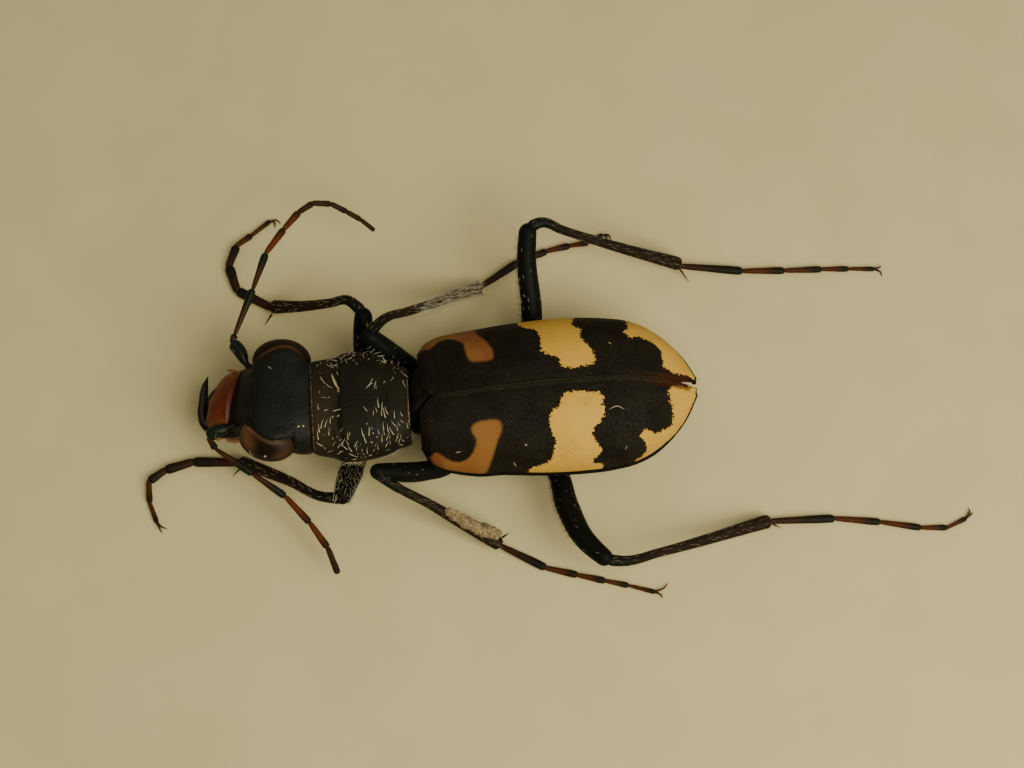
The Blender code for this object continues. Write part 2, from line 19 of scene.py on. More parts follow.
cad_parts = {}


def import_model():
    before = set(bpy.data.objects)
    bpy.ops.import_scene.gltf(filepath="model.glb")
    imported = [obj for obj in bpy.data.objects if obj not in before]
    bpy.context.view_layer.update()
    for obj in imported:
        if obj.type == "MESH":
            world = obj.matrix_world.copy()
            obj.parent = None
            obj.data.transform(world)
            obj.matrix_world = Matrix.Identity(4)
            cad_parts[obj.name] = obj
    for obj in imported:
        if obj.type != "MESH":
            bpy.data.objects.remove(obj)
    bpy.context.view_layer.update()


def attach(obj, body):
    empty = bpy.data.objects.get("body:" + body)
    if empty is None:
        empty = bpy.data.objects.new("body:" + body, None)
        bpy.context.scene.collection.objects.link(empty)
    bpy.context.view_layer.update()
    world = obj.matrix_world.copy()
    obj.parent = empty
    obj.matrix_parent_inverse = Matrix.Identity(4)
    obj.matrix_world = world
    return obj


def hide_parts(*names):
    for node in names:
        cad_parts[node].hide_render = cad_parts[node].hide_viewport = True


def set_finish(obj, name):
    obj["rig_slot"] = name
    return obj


log = logging.getLogger("tiger_beetle")
Array = np.ndarray
Piece = bpy.types.Object
Tree = bpy.types.NodeTree
Node = bpy.types.Node
Socket = bpy.types.NodeSocket
Wire = float | Sequence[float] | str | Socket | None

MM = 0.001
FRAME_ORIGIN = np.array([4.5, 0.75, 0.0])
BODY = "root"
UNWRAP = "Unwrap"
POLE_BAND, WALL_BAND = 0.02, 0.96
PATCH_FILL, PATCH_MARGIN = 0.94, 0.03
UP = np.array([0.0, 0.0, 1.0])
NO_FLECKS = 0.99


class End(Enum):
    """How the first and last row of a skin are closed."""

    POLE = "pole"
    FOLD = "fold"


class Side(Enum):
    """The beetle's right or left side, with its sign along Y."""

    RIGHT = 1
    LEFT = -1

    @property
    def word(self) -> str:
        """The side's name as the pieces use it."""
        return self.name.lower()


def eased(knots: Sequence[float], values: Sequence, at: Array) -> Array:
    """Smooth values between knots.

    Args:
        knots: Rising places at which the values are known.
        values: One value, or one row of values, for each knot.
        at: Places at which the values are wanted.

    Returns:
        One row of values for each place.
    """
    knots = np.asarray(knots, float)
    values = np.asarray(values, float)
    flat = values.ndim == 1
    values = values[:, None] if flat else values
    gaps = np.diff(knots)[:, None]
    slopes = np.diff(values, axis=0) / gaps
    turns = np.concatenate([slopes[:1], slopes[-1:]]) if len(knots) == 2 else np.concatenate(
        [slopes[:1], (slopes[:-1] * gaps[1:] + slopes[1:] * gaps[:-1]) / (gaps[1:] + gaps[:-1]), slopes[-1:]]
    )
    index = np.clip(np.searchsorted(knots, at, side="right") - 1, 0, len(knots) - 2)
    part = np.clip((at - knots[index]) / (knots[index + 1] - knots[index]), 0.0, 1.0)[:, None]
    gap = gaps[index]
    square, cube = part**2, part**3
    result = (2 * cube - 3 * square + 1) * values[index] + (cube - 2 * square + part) * gap * turns[index]
    result += (3 * square - 2 * cube) * values[index + 1] + (cube - square) * gap * turns[index + 1]
    return result[:, 0] if flat else result


def step(low: float, high: float, at: Array) -> Array:
    """A smooth step from 0 at low to 1 at high."""
    part = np.clip((at - low) / (high - low), 0.0, 1.0)
    return part * part * (3.0 - 2.0 * part)


def unit(vector: Array) -> Array:
    """The vector at a length of 1."""
    return vector / np.linalg.norm(vector)


def hump(at: Array, middle: float, width: float) -> Array:
    """A smooth hump of height 1 round a middle."""
    return np.exp(-(((at - middle) / width) ** 2))


def path_through(points: Sequence[Sequence[float]], count: int) -> Array:
    """A smooth path of count points, even along its length, through a few given ones.

    Args:
        points: Places that the path passes.
        count: How many points the path gets.

    Returns:
        The path's points.
    """
    points = np.asarray(points, float)
    chords = np.concatenate([[0.0], np.cumsum(np.linalg.norm(np.diff(points, axis=0), axis=1))])
    fine = eased(chords, points, np.linspace(0.0, chords[-1], 40 * len(points)))
    length = np.concatenate([[0.0], np.cumsum(np.linalg.norm(np.diff(fine, axis=0), axis=1))])
    wanted = np.linspace(0.0, length[-1], count)
    return np.stack([np.interp(wanted, length, fine[:, axis]) for axis in range(3)], axis=1)


def along_path(line: Array, places: Array) -> Array:
    """Points of an even line at places from 0 to 1."""
    even = np.linspace(0.0, 1.0, len(line))
    return np.stack([np.interp(places, even, line[:, axis]) for axis in range(3)], axis=1)


def end_rounding(count: int, first: float, last: float) -> tuple[Array, Array]:
    """Row places crowded at both ends, and a factor that rounds the ends off.

    Args:
        count: How many rows.
        first: Share of the length that the round base takes.
        last: Share of the length that the round tip takes.

    Returns:
        Places from 0 to 1, and the radius factor at each.
    """
    places = 0.5 - 0.5 * np.cos(np.linspace(0.0, math.pi, count))
    base = np.sqrt(np.clip(1.0 - (1.0 - np.clip(places / first, 0, 1)) ** 2, 0.0, 1.0))
    tip = np.sqrt(np.clip(1.0 - (1.0 - np.clip((1.0 - places) / last, 0, 1)) ** 2, 0.0, 1.0))
    return places, np.clip(base * tip, 0.02, 1.0)


def distance_to(outline: Array, flat: Array) -> Array:
    """Distance from flat points to a closed outline, positive inside it.

    Args:
        outline: Points of the outline, in order.
        flat: Points to measure, in the same two coordinates.

    Returns:
        The signed distance of each point.
    """
    looped = np.concatenate([outline, outline[:3]])
    knots = np.arange(len(looped), dtype=float)
    fine = eased(knots, looped, np.linspace(1.0, len(outline) + 1.0, 8 * len(outline), endpoint=False))
    start, end = fine, np.roll(fine, -1, axis=0)
    shape = flat.shape[:-1]
    points = flat.reshape(-1, 1, 2)
    edge = end - start
    part = np.clip(((points - start) * edge).sum(-1) / np.maximum((edge**2).sum(-1), 1e-12), 0, 1)
    least = np.linalg.norm(points - (start + part[..., None] * edge), axis=-1).min(axis=1)
    over = (start[:, 1] > points[..., 1]) != (end[:, 1] > points[..., 1])
    with np.errstate(divide="ignore", invalid="ignore"):
        cross = start[:, 0] + (points[..., 1] - start[:, 1]) * edge[:, 0] / edge[:, 1]
    inside = (over & (points[..., 0] < cross)).sum(axis=1) % 2 == 1
    return np.where(inside, least, -least).reshape(shape)


@dataclass
class Skin:
    """A grid of points round a piece, with rows from its base to its tip, and marks painted on it."""

    points: Array
    marks: dict[str, Array] = field(default_factory=dict)
    end: End = End.POLE
    finish: int = 0

    def normals(self) -> Array:
        """Outward directions at the grid's points.

        Returns:
            One direction of length 1 for each point.
        """
        along = np.gradient(self.points, axis=0)
        around = np.roll(self.points, -1, axis=1) - np.roll(self.points, 1, axis=1)
        outward = np.cross(around, along)
        outward /= np.maximum(np.linalg.norm(outward, axis=-1, keepdims=True), 1e-12)
        middle = self.points.mean(axis=1, keepdims=True)
        facing = ((self.points - middle) * outward).sum()
        return outward if facing > 0 else -outward

    def emboss(self, height: Array) -> None:
        """Raises or sinks the surface by a height for each point."""
        self.points = self.points + self.normals() * height[..., None]

    def comb(self, direction: Sequence[float] | Array) -> None:
        """Marks the direction in which bristles are combed, laid flat along the surface.

        Args:
            direction: One direction, or one for each point.
        """
        outward = self.normals()
        direction = np.broadcast_to(np.asarray(direction, float), self.points.shape)
        flat = direction - (direction * outward).sum(axis=-1, keepdims=True) * outward
        self.marks["comb"] = flat / np.maximum(np.linalg.norm(flat, axis=-1, keepdims=True), 1e-6)


def tube(path: Array, radii: Array, sides: int, rise: float = 1.0) -> Skin:
    """A round limb along a path.

    Args:
        path: Middle line, one point for each row.
        radii: Radius at each row.
        sides: Points round the limb.
        rise: Height of the cross-section as a share of its width.

    Returns:
        The limb's skin, marked with its comb direction and its place from 0 to 1.
    """
    heading = np.gradient(path, axis=0)
    heading /= np.linalg.norm(heading, axis=1, keepdims=True)
    aside = np.cross(heading, (0.0, 0.0, 1.0))
    aside /= np.maximum(np.linalg.norm(aside, axis=1, keepdims=True), 1e-9)
    above = np.cross(aside, heading)
    angle = np.linspace(0.0, 2.0 * math.pi, sides, endpoint=False)[None, :, None]
    spoke = np.cos(angle) * aside[:, None] + rise * np.sin(angle) * above[:, None]
    points = path[:, None] + spoke * radii[:, None, None]
    place = np.repeat(np.linspace(0.0, 1.0, len(path))[:, None], sides, axis=1)
    comb = np.repeat(heading[:, None], sides, axis=1)
    topside = np.repeat(np.sin(angle)[..., 0], len(path), axis=0)
    return Skin(points, {"place": place, "comb": comb, "topside": topside})


def lofted(stations: Sequence, rows: int, columns: int, power: float = 2.2) -> tuple[Array, Array]:
    """A smooth body through cross-sections.

    Args:
        stations: Rows of place, half width, top, bottom and widest height, and where wanted of
            squareness (2 for an ellipse) and sway to the side.
        rows: Rings along the body.
        columns: Points round it.
        power: Squareness where the stations don't give one.

    Returns:
        Points with X as the place, Y as the offset and Z as the height, and how far up each lies.
    """
    stations = np.asarray(stations, float)
    if stations.shape[1] == 5:
        stations = np.concatenate([stations, np.tile((power, 0.0), (len(stations), 1))], axis=1)
    knots = np.arange(len(stations), dtype=float)
    rings = eased(knots, stations, np.linspace(0.0, knots[-1], rows))
    place, width, top, bottom, widest, squareness, sway = rings.T[:, :, None]
    angle = np.linspace(0.0, 2.0 * math.pi, columns, endpoint=False)[None]
    reach = np.abs(np.cos(angle)) ** squareness + np.abs(np.sin(angle)) ** squareness
    reach = reach ** (-1.0 / squareness)
    across, upward = np.cos(angle) * reach, np.sin(angle) * reach
    height = widest + np.where(upward > 0, top - widest, widest - bottom) * upward
    points = np.stack([np.broadcast_to(place, height.shape), sway + width * across, height], axis=-1)
    return points, upward


def ball(middle: Sequence[float], radii: Sequence[float], rows: int, columns: int) -> Skin:
    """An egg-shaped skin with its axes along X, Y and Z.

    Args:
        middle: Its centre.
        radii: Its three radii.
        rows: Rings from pole to pole.
        columns: Points round a ring.

    Returns:
        The skin, marked with its place from 0 to 1.
    """
    turn = np.linspace(0.06, math.pi - 0.06, rows)[:, None]
    angle = np.linspace(0.0, 2.0 * math.pi, columns, endpoint=False)[None]
    unit = np.stack(
        [-np.cos(turn) * np.ones_like(angle), np.sin(turn) * np.cos(angle), np.sin(turn) * np.sin(angle)],
        axis=-1,
    )
    points = np.asarray(middle) + unit * np.asarray(radii)
    return Skin(points, {"place": np.repeat(turn / math.pi, columns, axis=1)})


class Mould:
    """Gathers skins and casts them as one mesh piece."""

    def __init__(self, name: str) -> None:
        """Starts an empty mould for the named piece."""
        self.name = name
        self.skins: list[Skin] = []

    def add(self, *skins: Skin) -> "Mould":
        """Adds skins and returns the mould."""
        self.skins.extend(skins)
        return self

    def _faces(self, rows: int, columns: int, end: End, base: int) -> tuple[list[Array], list[Array]]:
        """Face corners and their places on the unwrap for one skin.

        Args:
            rows: Rows of the skin.
            columns: Columns of the skin.
            end: How its ends are closed.
            base: Index of its first point.

        Returns:
            Lists of corner index arrays and of unwrap places, quads before triangles.
        """
        row, column = np.meshgrid(np.arange(rows - 1), np.arange(columns), indexing="ij")
        row, column = row.ravel(), column.ravel()
        following = (column + 1) % columns
        quads = np.stack(
            [row * columns + column, row * columns + following,
             (row + 1) * columns + following, (row + 1) * columns + column], axis=1,
        ) + base
        u0, u1 = column / columns, (column + 1) / columns
        v0 = POLE_BAND + WALL_BAND * row / (rows - 1)
        v1 = POLE_BAND + WALL_BAND * (row + 1) / (rows - 1)
        flat = np.stack([np.stack([u0, v0], 1), np.stack([u1, v0], 1), np.stack([u1, v1], 1),
            np.stack([u0, v1], 1)], 1)
        faces, places = [quads], [flat]
        for which, v, outer in ((0, POLE_BAND, 0.0), (rows - 1, 0.98, 1.0)):
            ring = base + which * columns
            if end is End.POLE:
                here = np.arange(columns)
                there = (here + 1) % columns
                pole = np.full(columns, base + rows * columns + (0 if which == 0 else 1))
                first, second = (there, here) if which == 0 else (here, there)
                faces.append(np.stack([ring + first, ring + second, pole], axis=1))
                spots = [np.stack([index / columns, np.full(columns, v)], 1) for index in (first, second)]
                spots.append(np.stack([(here + 0.5) / columns, np.full(columns, outer)], 1))
                places.append(np.stack(spots, 1))
            else:
                here = np.arange(columns // 2 - 1)
                corners = [here, here + 1, columns - 2 - here, columns - 1 - here]
                corners = corners[::-1] if which == 0 else corners
                faces.append(np.stack([ring + corner for corner in corners], axis=1))
                places.append(np.stack([np.stack([c / columns, np.full(len(c), v)], 1) for c in corners], 1))
        return faces, places

    def cast(self, finishes: Sequence["Finish"], slot: str, nodes: Sequence[str] = ()) -> Piece:
        """Makes the piece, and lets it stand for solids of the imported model.

        Args:
            finishes: Finishes that the skins name by number.
            slot: The record's material slot for the piece.
            nodes: Solids that the piece replaces.

        Returns:
            The finished mesh object.
        """
        points, starts, corners, spots, numbers = [], [], [], [], []
        names = sorted({mark for skin in self.skins for mark in skin.marks})
        marks: dict[str, list[Array]] = {mark: [] for mark in names}
        grid = math.ceil(math.sqrt(len(self.skins)))
        base = total = 0
        for number, skin in enumerate(self.skins):
            rows, columns = skin.points.shape[:2]
            faces, places = self._faces(rows, columns, skin.end, base)
            poles = skin.end is End.POLE
            flat = skin.points.reshape(-1, 3)
            middles = [skin.points[0].mean(0)[None], skin.points[-1].mean(0)[None]] if poles else []
            whole = np.concatenate([flat, *middles])
            corner = np.array([(number % grid), (number // grid)])
            first, second, third = (whole[faces[0][:, index] - base] for index in (0, 1, 2))
            flip = (np.cross(second - first, third - first) * (first - flat.mean(0))).sum() < 0
            for face, place in zip(faces, places):
                face, place = (face[:, ::-1], place[:, ::-1]) if flip else (face, place)
                starts.append(total + np.arange(len(face)) * face.shape[1])
                corners.append(face.ravel())
                spots.append(((place.reshape(-1, 2) * PATCH_FILL + PATCH_MARGIN) + corner) / grid)
                numbers.append(np.full(len(face), skin.finish))
                total += face.size
            for mark in names:
                like = next(s.marks[mark] for s in self.skins if mark in s.marks)
                value = skin.marks.get(mark, np.zeros(skin.points.shape[:2] + like.shape[2:]))
                value = np.broadcast_to(value, skin.points.shape[:2] + like.shape[2:])
                column = value.reshape((-1,) + like.shape[2:])
                if poles:
                    column = np.concatenate([column, value[0].mean(0)[None], value[-1].mean(0)[None]])
                marks[mark].append(column)
            points.append(whole)
            base += len(whole)
        mesh = bpy.data.meshes.new(self.name)
        everything = (np.concatenate(points) - FRAME_ORIGIN) * MM
        mesh.vertices.add(len(everything))
        mesh.vertices.foreach_set("co", everything.ravel().astype(np.float32))
        mesh.loops.add(total)
        mesh.loops.foreach_set("vertex_index", np.concatenate(corners).astype(np.int32))
        mesh.polygons.add(sum(len(start) for start in starts))
        mesh.polygons.foreach_set("loop_start", np.concatenate(starts).astype(np.int32))
        mesh.polygons.foreach_set("material_index", np.concatenate(numbers).astype(np.int32))
        layer = mesh.uv_layers.new(name=UNWRAP)
        layer.uv.foreach_set("vector", np.concatenate(spots).ravel().astype(np.float32))
        for mark in names:
            value = np.concatenate(marks[mark]).astype(np.float32)
            kind = "FLOAT_VECTOR" if value.ndim == 2 else "FLOAT"
            mesh.attributes.new(mark, kind, "POINT").data.foreach_set(
                "vector" if kind == "FLOAT_VECTOR" else "value", value.ravel()
            )
        mesh.update(calc_edges=True)
        mesh.validate()
        mesh.shade_smooth()
        for finish in finishes:
            mesh.materials.append(finish.material())
        piece = bpy.data.objects.new(self.name, mesh)
        bpy.context.scene.collection.objects.link(piece)
        return seat(piece, slot, nodes)


def seat(piece: Piece, slot: str, nodes: Sequence[str] = ()) -> Piece:
    """Lets a piece ride on the model, names its slot, hides the solids it stands for, and logs it.

    Args:
        piece: The finished mesh object.
        slot: The record's material slot.
        nodes: Solids that the piece replaces.

    Returns:
        The same object.
    """
    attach(piece, BODY)
    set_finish(piece, slot)
    if nodes:
        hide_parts(*nodes)
    log.info("%s: %d faces", piece.name, len(piece.data.polygons))
    return piece


class Bench:
    """Lays out and wires the nodes of one tree."""

    def __init__(self, tree: Tree) -> None:
        """Takes the tree to work on."""
        self.tree = tree
        self.count = 0

    def put(self, kind: str, wired: dict | None = None, **settings: object) -> Node:
        """Adds a node.

        Args:
            kind: The node's type.
            wired: Values or sockets for its inputs, by name or number.
            settings: Properties of the node.

        Returns:
            The new node.
        """
        node = self.tree.nodes.new(kind)
        node.location = (180.0 * (self.count % 12), -220.0 * (self.count // 12))
        self.count += 1
        for name, value in settings.items():
            setattr(node, name, value)
        self.feed(node, wired or {})
        return node

    def feed(self, node: Node, wired: dict) -> None:
        """Links sockets to a node's inputs, and sets the inputs that get plain values.

        Args:
            node: The node that is fed.
            wired: Values or sockets, by the input's name or number.
        """
        for key, value in wired.items():
            if isinstance(value, Socket):
                self.tree.links.new(value, node.inputs[key])
            else:
                node.inputs[key].default_value = value

    def sum(self, operation: str, *values: Wire) -> Socket:
        """The result of a Math node on up to three values or sockets."""
        kind = "ShaderNodeMath"
        return self.put(kind, dict(enumerate(values)), operation=operation).outputs[0]

    def blend(self, share: Wire, first: Wire, second: Wire) -> Socket:
        """A colour between two, by a share from 0 to 1."""
        return self.put("ShaderNodeMix", {0: share, 6: first, 7: second}, data_type="RGBA").outputs[2]

    def ramp(self, value: Wire, low: float, high: float) -> Socket:
        """A smooth step of a value between two limits."""
        wired = {"Value": value, "From Min": low, "From Max": high}
        return self.put("ShaderNodeMapRange", wired, interpolation_type="SMOOTHSTEP").outputs[0]

    def scaled(self, vector: Wire, share: Wire) -> Socket:
        """A vector made longer or shorter by a factor."""
        return self.put("ShaderNodeVectorMath", {0: vector, "Scale": share}, operation="SCALE").outputs[0]

    def added(self, first: Wire, second: Wire) -> Socket:
        """The sum of two vectors."""
        return self.put("ShaderNodeVectorMath", {0: first, 1: second}, operation="ADD").outputs[0]

    def mark(self, name: str) -> Socket:
        """A number painted on the piece."""
        return self.put("ShaderNodeAttribute", attribute_name=name).outputs["Fac"]

    def group(self, tree: Tree, **wired: Wire) -> Node:
        """Places a node group, with its inputs given by name.

        Args:
            tree: The group's tree.
            wired: Values or sockets for its inputs.

        Returns:
            The group's node.
        """
        node = self.put("ShaderNodeGroup")
        node.node_tree = tree
        self.feed(node, wired)
        return node


def colour(red: float, green: float, blue: float) -> tuple[float, float, float, float]:
    """An opaque colour."""
    return (red, green, blue, 1.0)


class Effects:
    """Surface effects that several finishes share, each built once as a node group."""

    @staticmethod
    def _start(name: str, inputs: dict[str, float | tuple], *outputs: str) -> tuple:
        """Starts a group with its sockets and a texture place in millimetres.

        Args:
            name: The group's name.
            inputs: Default value of each input, a number or a colour.
            outputs: Names of the outputs, all numbers but Color.

        Returns:
            The tree, its bench, its entry and exit nodes, and the texture place.
        """
        tree = bpy.data.node_groups.new(name, "ShaderNodeTree")
        for label, value in inputs.items():
            kind = "NodeSocketColor" if isinstance(value, tuple) else "NodeSocketFloat"
            tree.interface.new_socket(label, in_out="INPUT", socket_type=kind).default_value = value
        for label in outputs:
            kind = "NodeSocketColor" if label == "Color" else "NodeSocketFloat"
            tree.interface.new_socket(label, in_out="OUTPUT", socket_type=kind)
        bench = Bench(tree)
        entry = bench.put("NodeGroupInput")
        leave = bench.put("NodeGroupOutput")
        spot = bench.put("ShaderNodeTexCoord").outputs["Object"]
        place = bench.scaled(spot, 1.0 / MM)
        return tree, bench, entry, leave, place

    @classmethod
    @cache
    def grain(cls) -> Tree:
        """Fine granules: a height and pale flecks. Scale is granules per millimetre.

        Returns:
            The group.
        """
        tree, bench, entry, leave, place = cls._start(
            "grain", {"Scale": 12.0, "Lumps": 0.5, "Fleck": 0.7}, "Height", "Flecks",
        )
        scale = entry.outputs["Scale"]
        cells = bench.put("ShaderNodeTexVoronoi", {"Vector": place, "Scale": scale, "Randomness": 1.0})
        soft = bench.put("ShaderNodeTexNoise",
            {"Vector": place, "Scale": bench.sum("MULTIPLY", scale, 0.35), "Detail": 3.0})
        dome = bench.ramp(cells.outputs["Distance"], 0.62, 0.0)
        lumps = bench.sum("MULTIPLY", soft.outputs["Fac"], entry.outputs["Lumps"])
        bench.feed(leave, {"Height": bench.sum("ADD", dome, lumps)})
        specks = bench.put("ShaderNodeTexNoise",
            {"Vector": place, "Scale": bench.sum("MULTIPLY", scale, 1.3), "Detail": 2.0})
        high = bench.sum("ADD", entry.outputs["Fleck"], 0.06)
        masked = bench.put("ShaderNodeMapRange",
            {"Value": specks.outputs["Fac"], "From Min": entry.outputs["Fleck"], "From Max": high})
        bench.feed(leave, {"Flecks": masked.outputs[0]})
        return tree

    @classmethod
    @cache
    def drift(cls) -> Tree:
        """A colour that drifts between two in soft clouds. Scale is clouds per millimetre.

        Returns:
            The group.
        """
        tree, bench, entry, leave, place = cls._start(
            "drift", {"First": colour(0, 0, 0), "Second": colour(1, 1, 1), "Scale": 1.0}, "Color",
        )
        cloud = bench.put("ShaderNodeTexNoise",
            {"Vector": place, "Scale": entry.outputs["Scale"], "Detail": 4.0})
        share = bench.ramp(cloud.outputs["Fac"], 0.35, 0.65)
        mixed = bench.blend(share, entry.outputs["First"], entry.outputs["Second"])
        bench.feed(leave, {"Color": mixed})
        return tree

    @classmethod
    @cache
    def ragged(cls) -> Tree:
        """A patch with a ragged edge from its distance in millimetres, and specks round the edge.

        Returns:
            The group.
        """
        tree, bench, entry, leave, place = cls._start(
            "ragged", {"Distance": 0.0, "Raggedness": 0.1, "Softness": 0.02, "Scale": 6.0}, "Mask",
        )
        coarse = bench.put("ShaderNodeTexNoise",
            {"Vector": place, "Scale": entry.outputs["Scale"], "Detail": 3.0})
        fine_scale = bench.sum("MULTIPLY", entry.outputs["Scale"], 2.6)
        fine = bench.put("ShaderNodeTexVoronoi", {"Vector": place, "Scale": fine_scale})
        wander = bench.sum("SUBTRACT", coarse.outputs["Fac"], 0.5)
        dots = bench.sum("MULTIPLY", bench.sum("SUBTRACT", fine.outputs["Distance"], 0.45), 0.62)
        shift = bench.sum("MULTIPLY", bench.sum("ADD", wander, dots), entry.outputs["Raggedness"])
        moved = bench.sum("ADD", entry.outputs["Distance"], shift)
        below = bench.sum("MULTIPLY", entry.outputs["Softness"], -1.0)
        wired = {"Value": moved, "From Min": below, "From Max": entry.outputs["Softness"]}
        mask = bench.put("ShaderNodeMapRange", wired, interpolation_type="SMOOTHSTEP")
        bench.feed(leave, {"Mask": mask.outputs[0]})
        return tree

    @classmethod
    @cache
    def pores(cls) -> Tree:
        """Small dark pores: a mask. Scale is pores per millimetre.

        Returns:
            The group.
        """
        tree, bench, entry, leave, place = cls._start("pores", {"Scale": 8.0}, "Mask")
        cells = bench.put("ShaderNodeTexVoronoi",
            {"Vector": place, "Scale": entry.outputs["Scale"], "Randomness": 0.8})
        patchy = bench.put("ShaderNodeTexNoise", {"Vector": place, "Scale": 1.6, "Detail": 1.0})
        dots = bench.ramp(cells.outputs["Distance"], 0.24, 0.12)
        share = bench.ramp(patchy.outputs["Fac"], 0.25, 0.75)
        bench.feed(leave, {"Mask": bench.sum("MULTIPLY", dots, bench.sum("MULTIPLY", share, 0.7))})
        return tree

    @classmethod
    @cache
    def wrinkle(cls) -> Tree:
        """Fine wavy wrinkles: a height. Scale is wrinkles per millimetre, Turn their direction.

        Returns:
            The group.
        """
        tree, bench, entry, leave, place = cls._start(
            "wrinkle", {"Scale": 9.0, "Wander": 6.0, "Turn": 0.0}, "Height",
        )
        turned = bench.put("ShaderNodeVectorRotate", {"Vector": place, "Angle": entry.outputs["Turn"]},
            rotation_type="Z_AXIS")
        wired = {"Vector": turned.outputs[0], "Scale": bench.sum("MULTIPLY", entry.outputs["Scale"], 0.32),
                 "Distortion": entry.outputs["Wander"], "Detail": 3.0, "Detail Scale": 1.6}
        wave = bench.put("ShaderNodeTexWave", wired)
        bench.feed(leave, {"Height": wave.outputs["Fac"]})
        return tree


@dataclass(frozen=True)
class Finish:
    """A plain hard finish with drifting colour, granules and flecks."""

    name: str
    first: tuple = colour(0.0045, 0.0048, 0.0038)
    second: tuple = colour(0.0075, 0.0075, 0.0055)
    clouds: float = 1.2
    roughness: float = 0.42
    shine: float = 0.3
    metallic: float = 0.0
    coat: float = 0.0
    grains: float = 14.0
    bump: float = 0.25
    relief: float = 0.02
    fleck: tuple = colour(0.05, 0.048, 0.032)
    fleck_limit: float = 0.74

    COAT_ROUGHNESS = 0.15

    @cache
    def material(self) -> bpy.types.Material:
        """The finish as a material, made once.

        Returns:
            The material.
        """
        made = bpy.data.materials.new(self.name)
        made.use_nodes = True
        made.node_tree.nodes.clear()
        bench = Bench(made.node_tree)
        leave = bench.put("ShaderNodeOutputMaterial")
        shader = bench.put("ShaderNodeBsdfPrincipled")
        shader.inputs["Roughness"].default_value = self.roughness
        shader.inputs["Metallic"].default_value = self.metallic
        shader.inputs["Specular IOR Level"].default_value = self.shine
        shader.inputs["Coat Weight"].default_value = self.coat
        shader.inputs["Coat Roughness"].default_value = self.COAT_ROUGHNESS
        grain = bench.group(Effects.grain(), Scale=self.grains, Fleck=self.fleck_limit)
        drift = bench.group(Effects.drift(), First=self.first, Second=self.second, Scale=self.clouds)
        ground = bench.blend(grain.outputs["Flecks"], drift.outputs[0], self.fleck)
        painted, height = self.paint(bench, shader, ground, grain.outputs["Height"])
        bench.feed(shader, {"Base Color": painted})
        bump = bench.put("ShaderNodeBump",
            {"Height": height, "Strength": self.bump, "Distance": self.relief * MM})
        bench.feed(shader, {"Normal": bump.outputs[0]})
        bench.feed(leave, {"Surface": shader.outputs[0]})
        return made

    def paint(self, bench: Bench, shader: Node, ground: Wire, height: Wire) -> tuple:
        """Paints markings over the ground colour, and returns colour and height."""
        return ground, height


@dataclass(frozen=True)
class ElytraFinish(Finish):
    """Velvety black with an orange shoulder patch, a cream band and a cream tip patch."""

    orange: tuple = colour(0.138, 0.048, 0.016)
    amber: tuple = colour(0.168, 0.076, 0.0185)
    cream: tuple = colour(0.43, 0.258, 0.041)
    straw: tuple = colour(0.39, 0.23, 0.035)
    pore: tuple = colour(0.09, 0.036, 0.006)
    seam: tuple = colour(0.02, 0.018, 0.008)
    rust: tuple = colour(0.034, 0.0085, 0.0022)
    black: tuple = colour(0.004, 0.004, 0.003)

    def paint(self, bench: Bench, shader: Node, ground: Wire, height: Wire) -> tuple:
        """Paints the patches, their pores, the seam line and the rust-red end of the seam.

        Args:
            bench: The material's bench.
            shader: Its shader.
            ground: Colour so far.
            height: Height so far.

        Returns:
            The painted colour and the height.
        """
        drift, ragged = Effects.drift(), Effects.ragged()
        orange = bench.group(drift, First=self.orange, Second=self.amber, Scale=0.55).outputs[0]
        cream = bench.group(drift, First=self.cream, Second=self.straw, Scale=0.8).outputs[0]
        pores = bench.group(Effects.pores(), Scale=8.0)
        pored = bench.blend(pores.outputs[0], cream, self.pore)
        shoulder = bench.group(ragged, Distance=bench.mark("shoulder"), Raggedness=0.07, Softness=0.075,
            Scale=4.0)
        pale = bench.sum("MAXIMUM", bench.mark("band"), bench.mark("tip"))
        band = bench.group(ragged, Distance=pale, Raggedness=0.27, Softness=0.016, Scale=5.0)
        halo = bench.group(ragged, Distance=bench.sum("ADD", pale, 0.03), Raggedness=0.31, Softness=0.04,
            Scale=5.0)
        painted = bench.blend(shoulder.outputs[0], ground, orange)
        painted = bench.blend(bench.sum("MULTIPLY", halo.outputs[0], 0.8), painted, self.rust)
        painted = bench.blend(band.outputs[0], painted, pored)
        painted = bench.blend(bench.mark("rust"), painted, self.rust)
        painted = bench.blend(bench.mark("seam"), painted, self.seam)
        rim = bench.group(ragged, Distance=bench.mark("rim"), Raggedness=0.06, Softness=0.015, Scale=6.0)
        painted = bench.blend(rim.outputs[0], painted, self.black)
        pale_all = bench.sum("MAXIMUM", band.outputs[0], shoulder.outputs[0])
        rough = bench.sum("SUBTRACT", self.roughness, bench.sum("MULTIPLY", pale_all, 0.12))
        bench.feed(shader, {"Roughness": rough})
        flatter = bench.sum("SUBTRACT", 1.0, bench.sum("MULTIPLY", pale_all, 0.7))
        return painted, bench.sum("MULTIPLY", height, flatter)


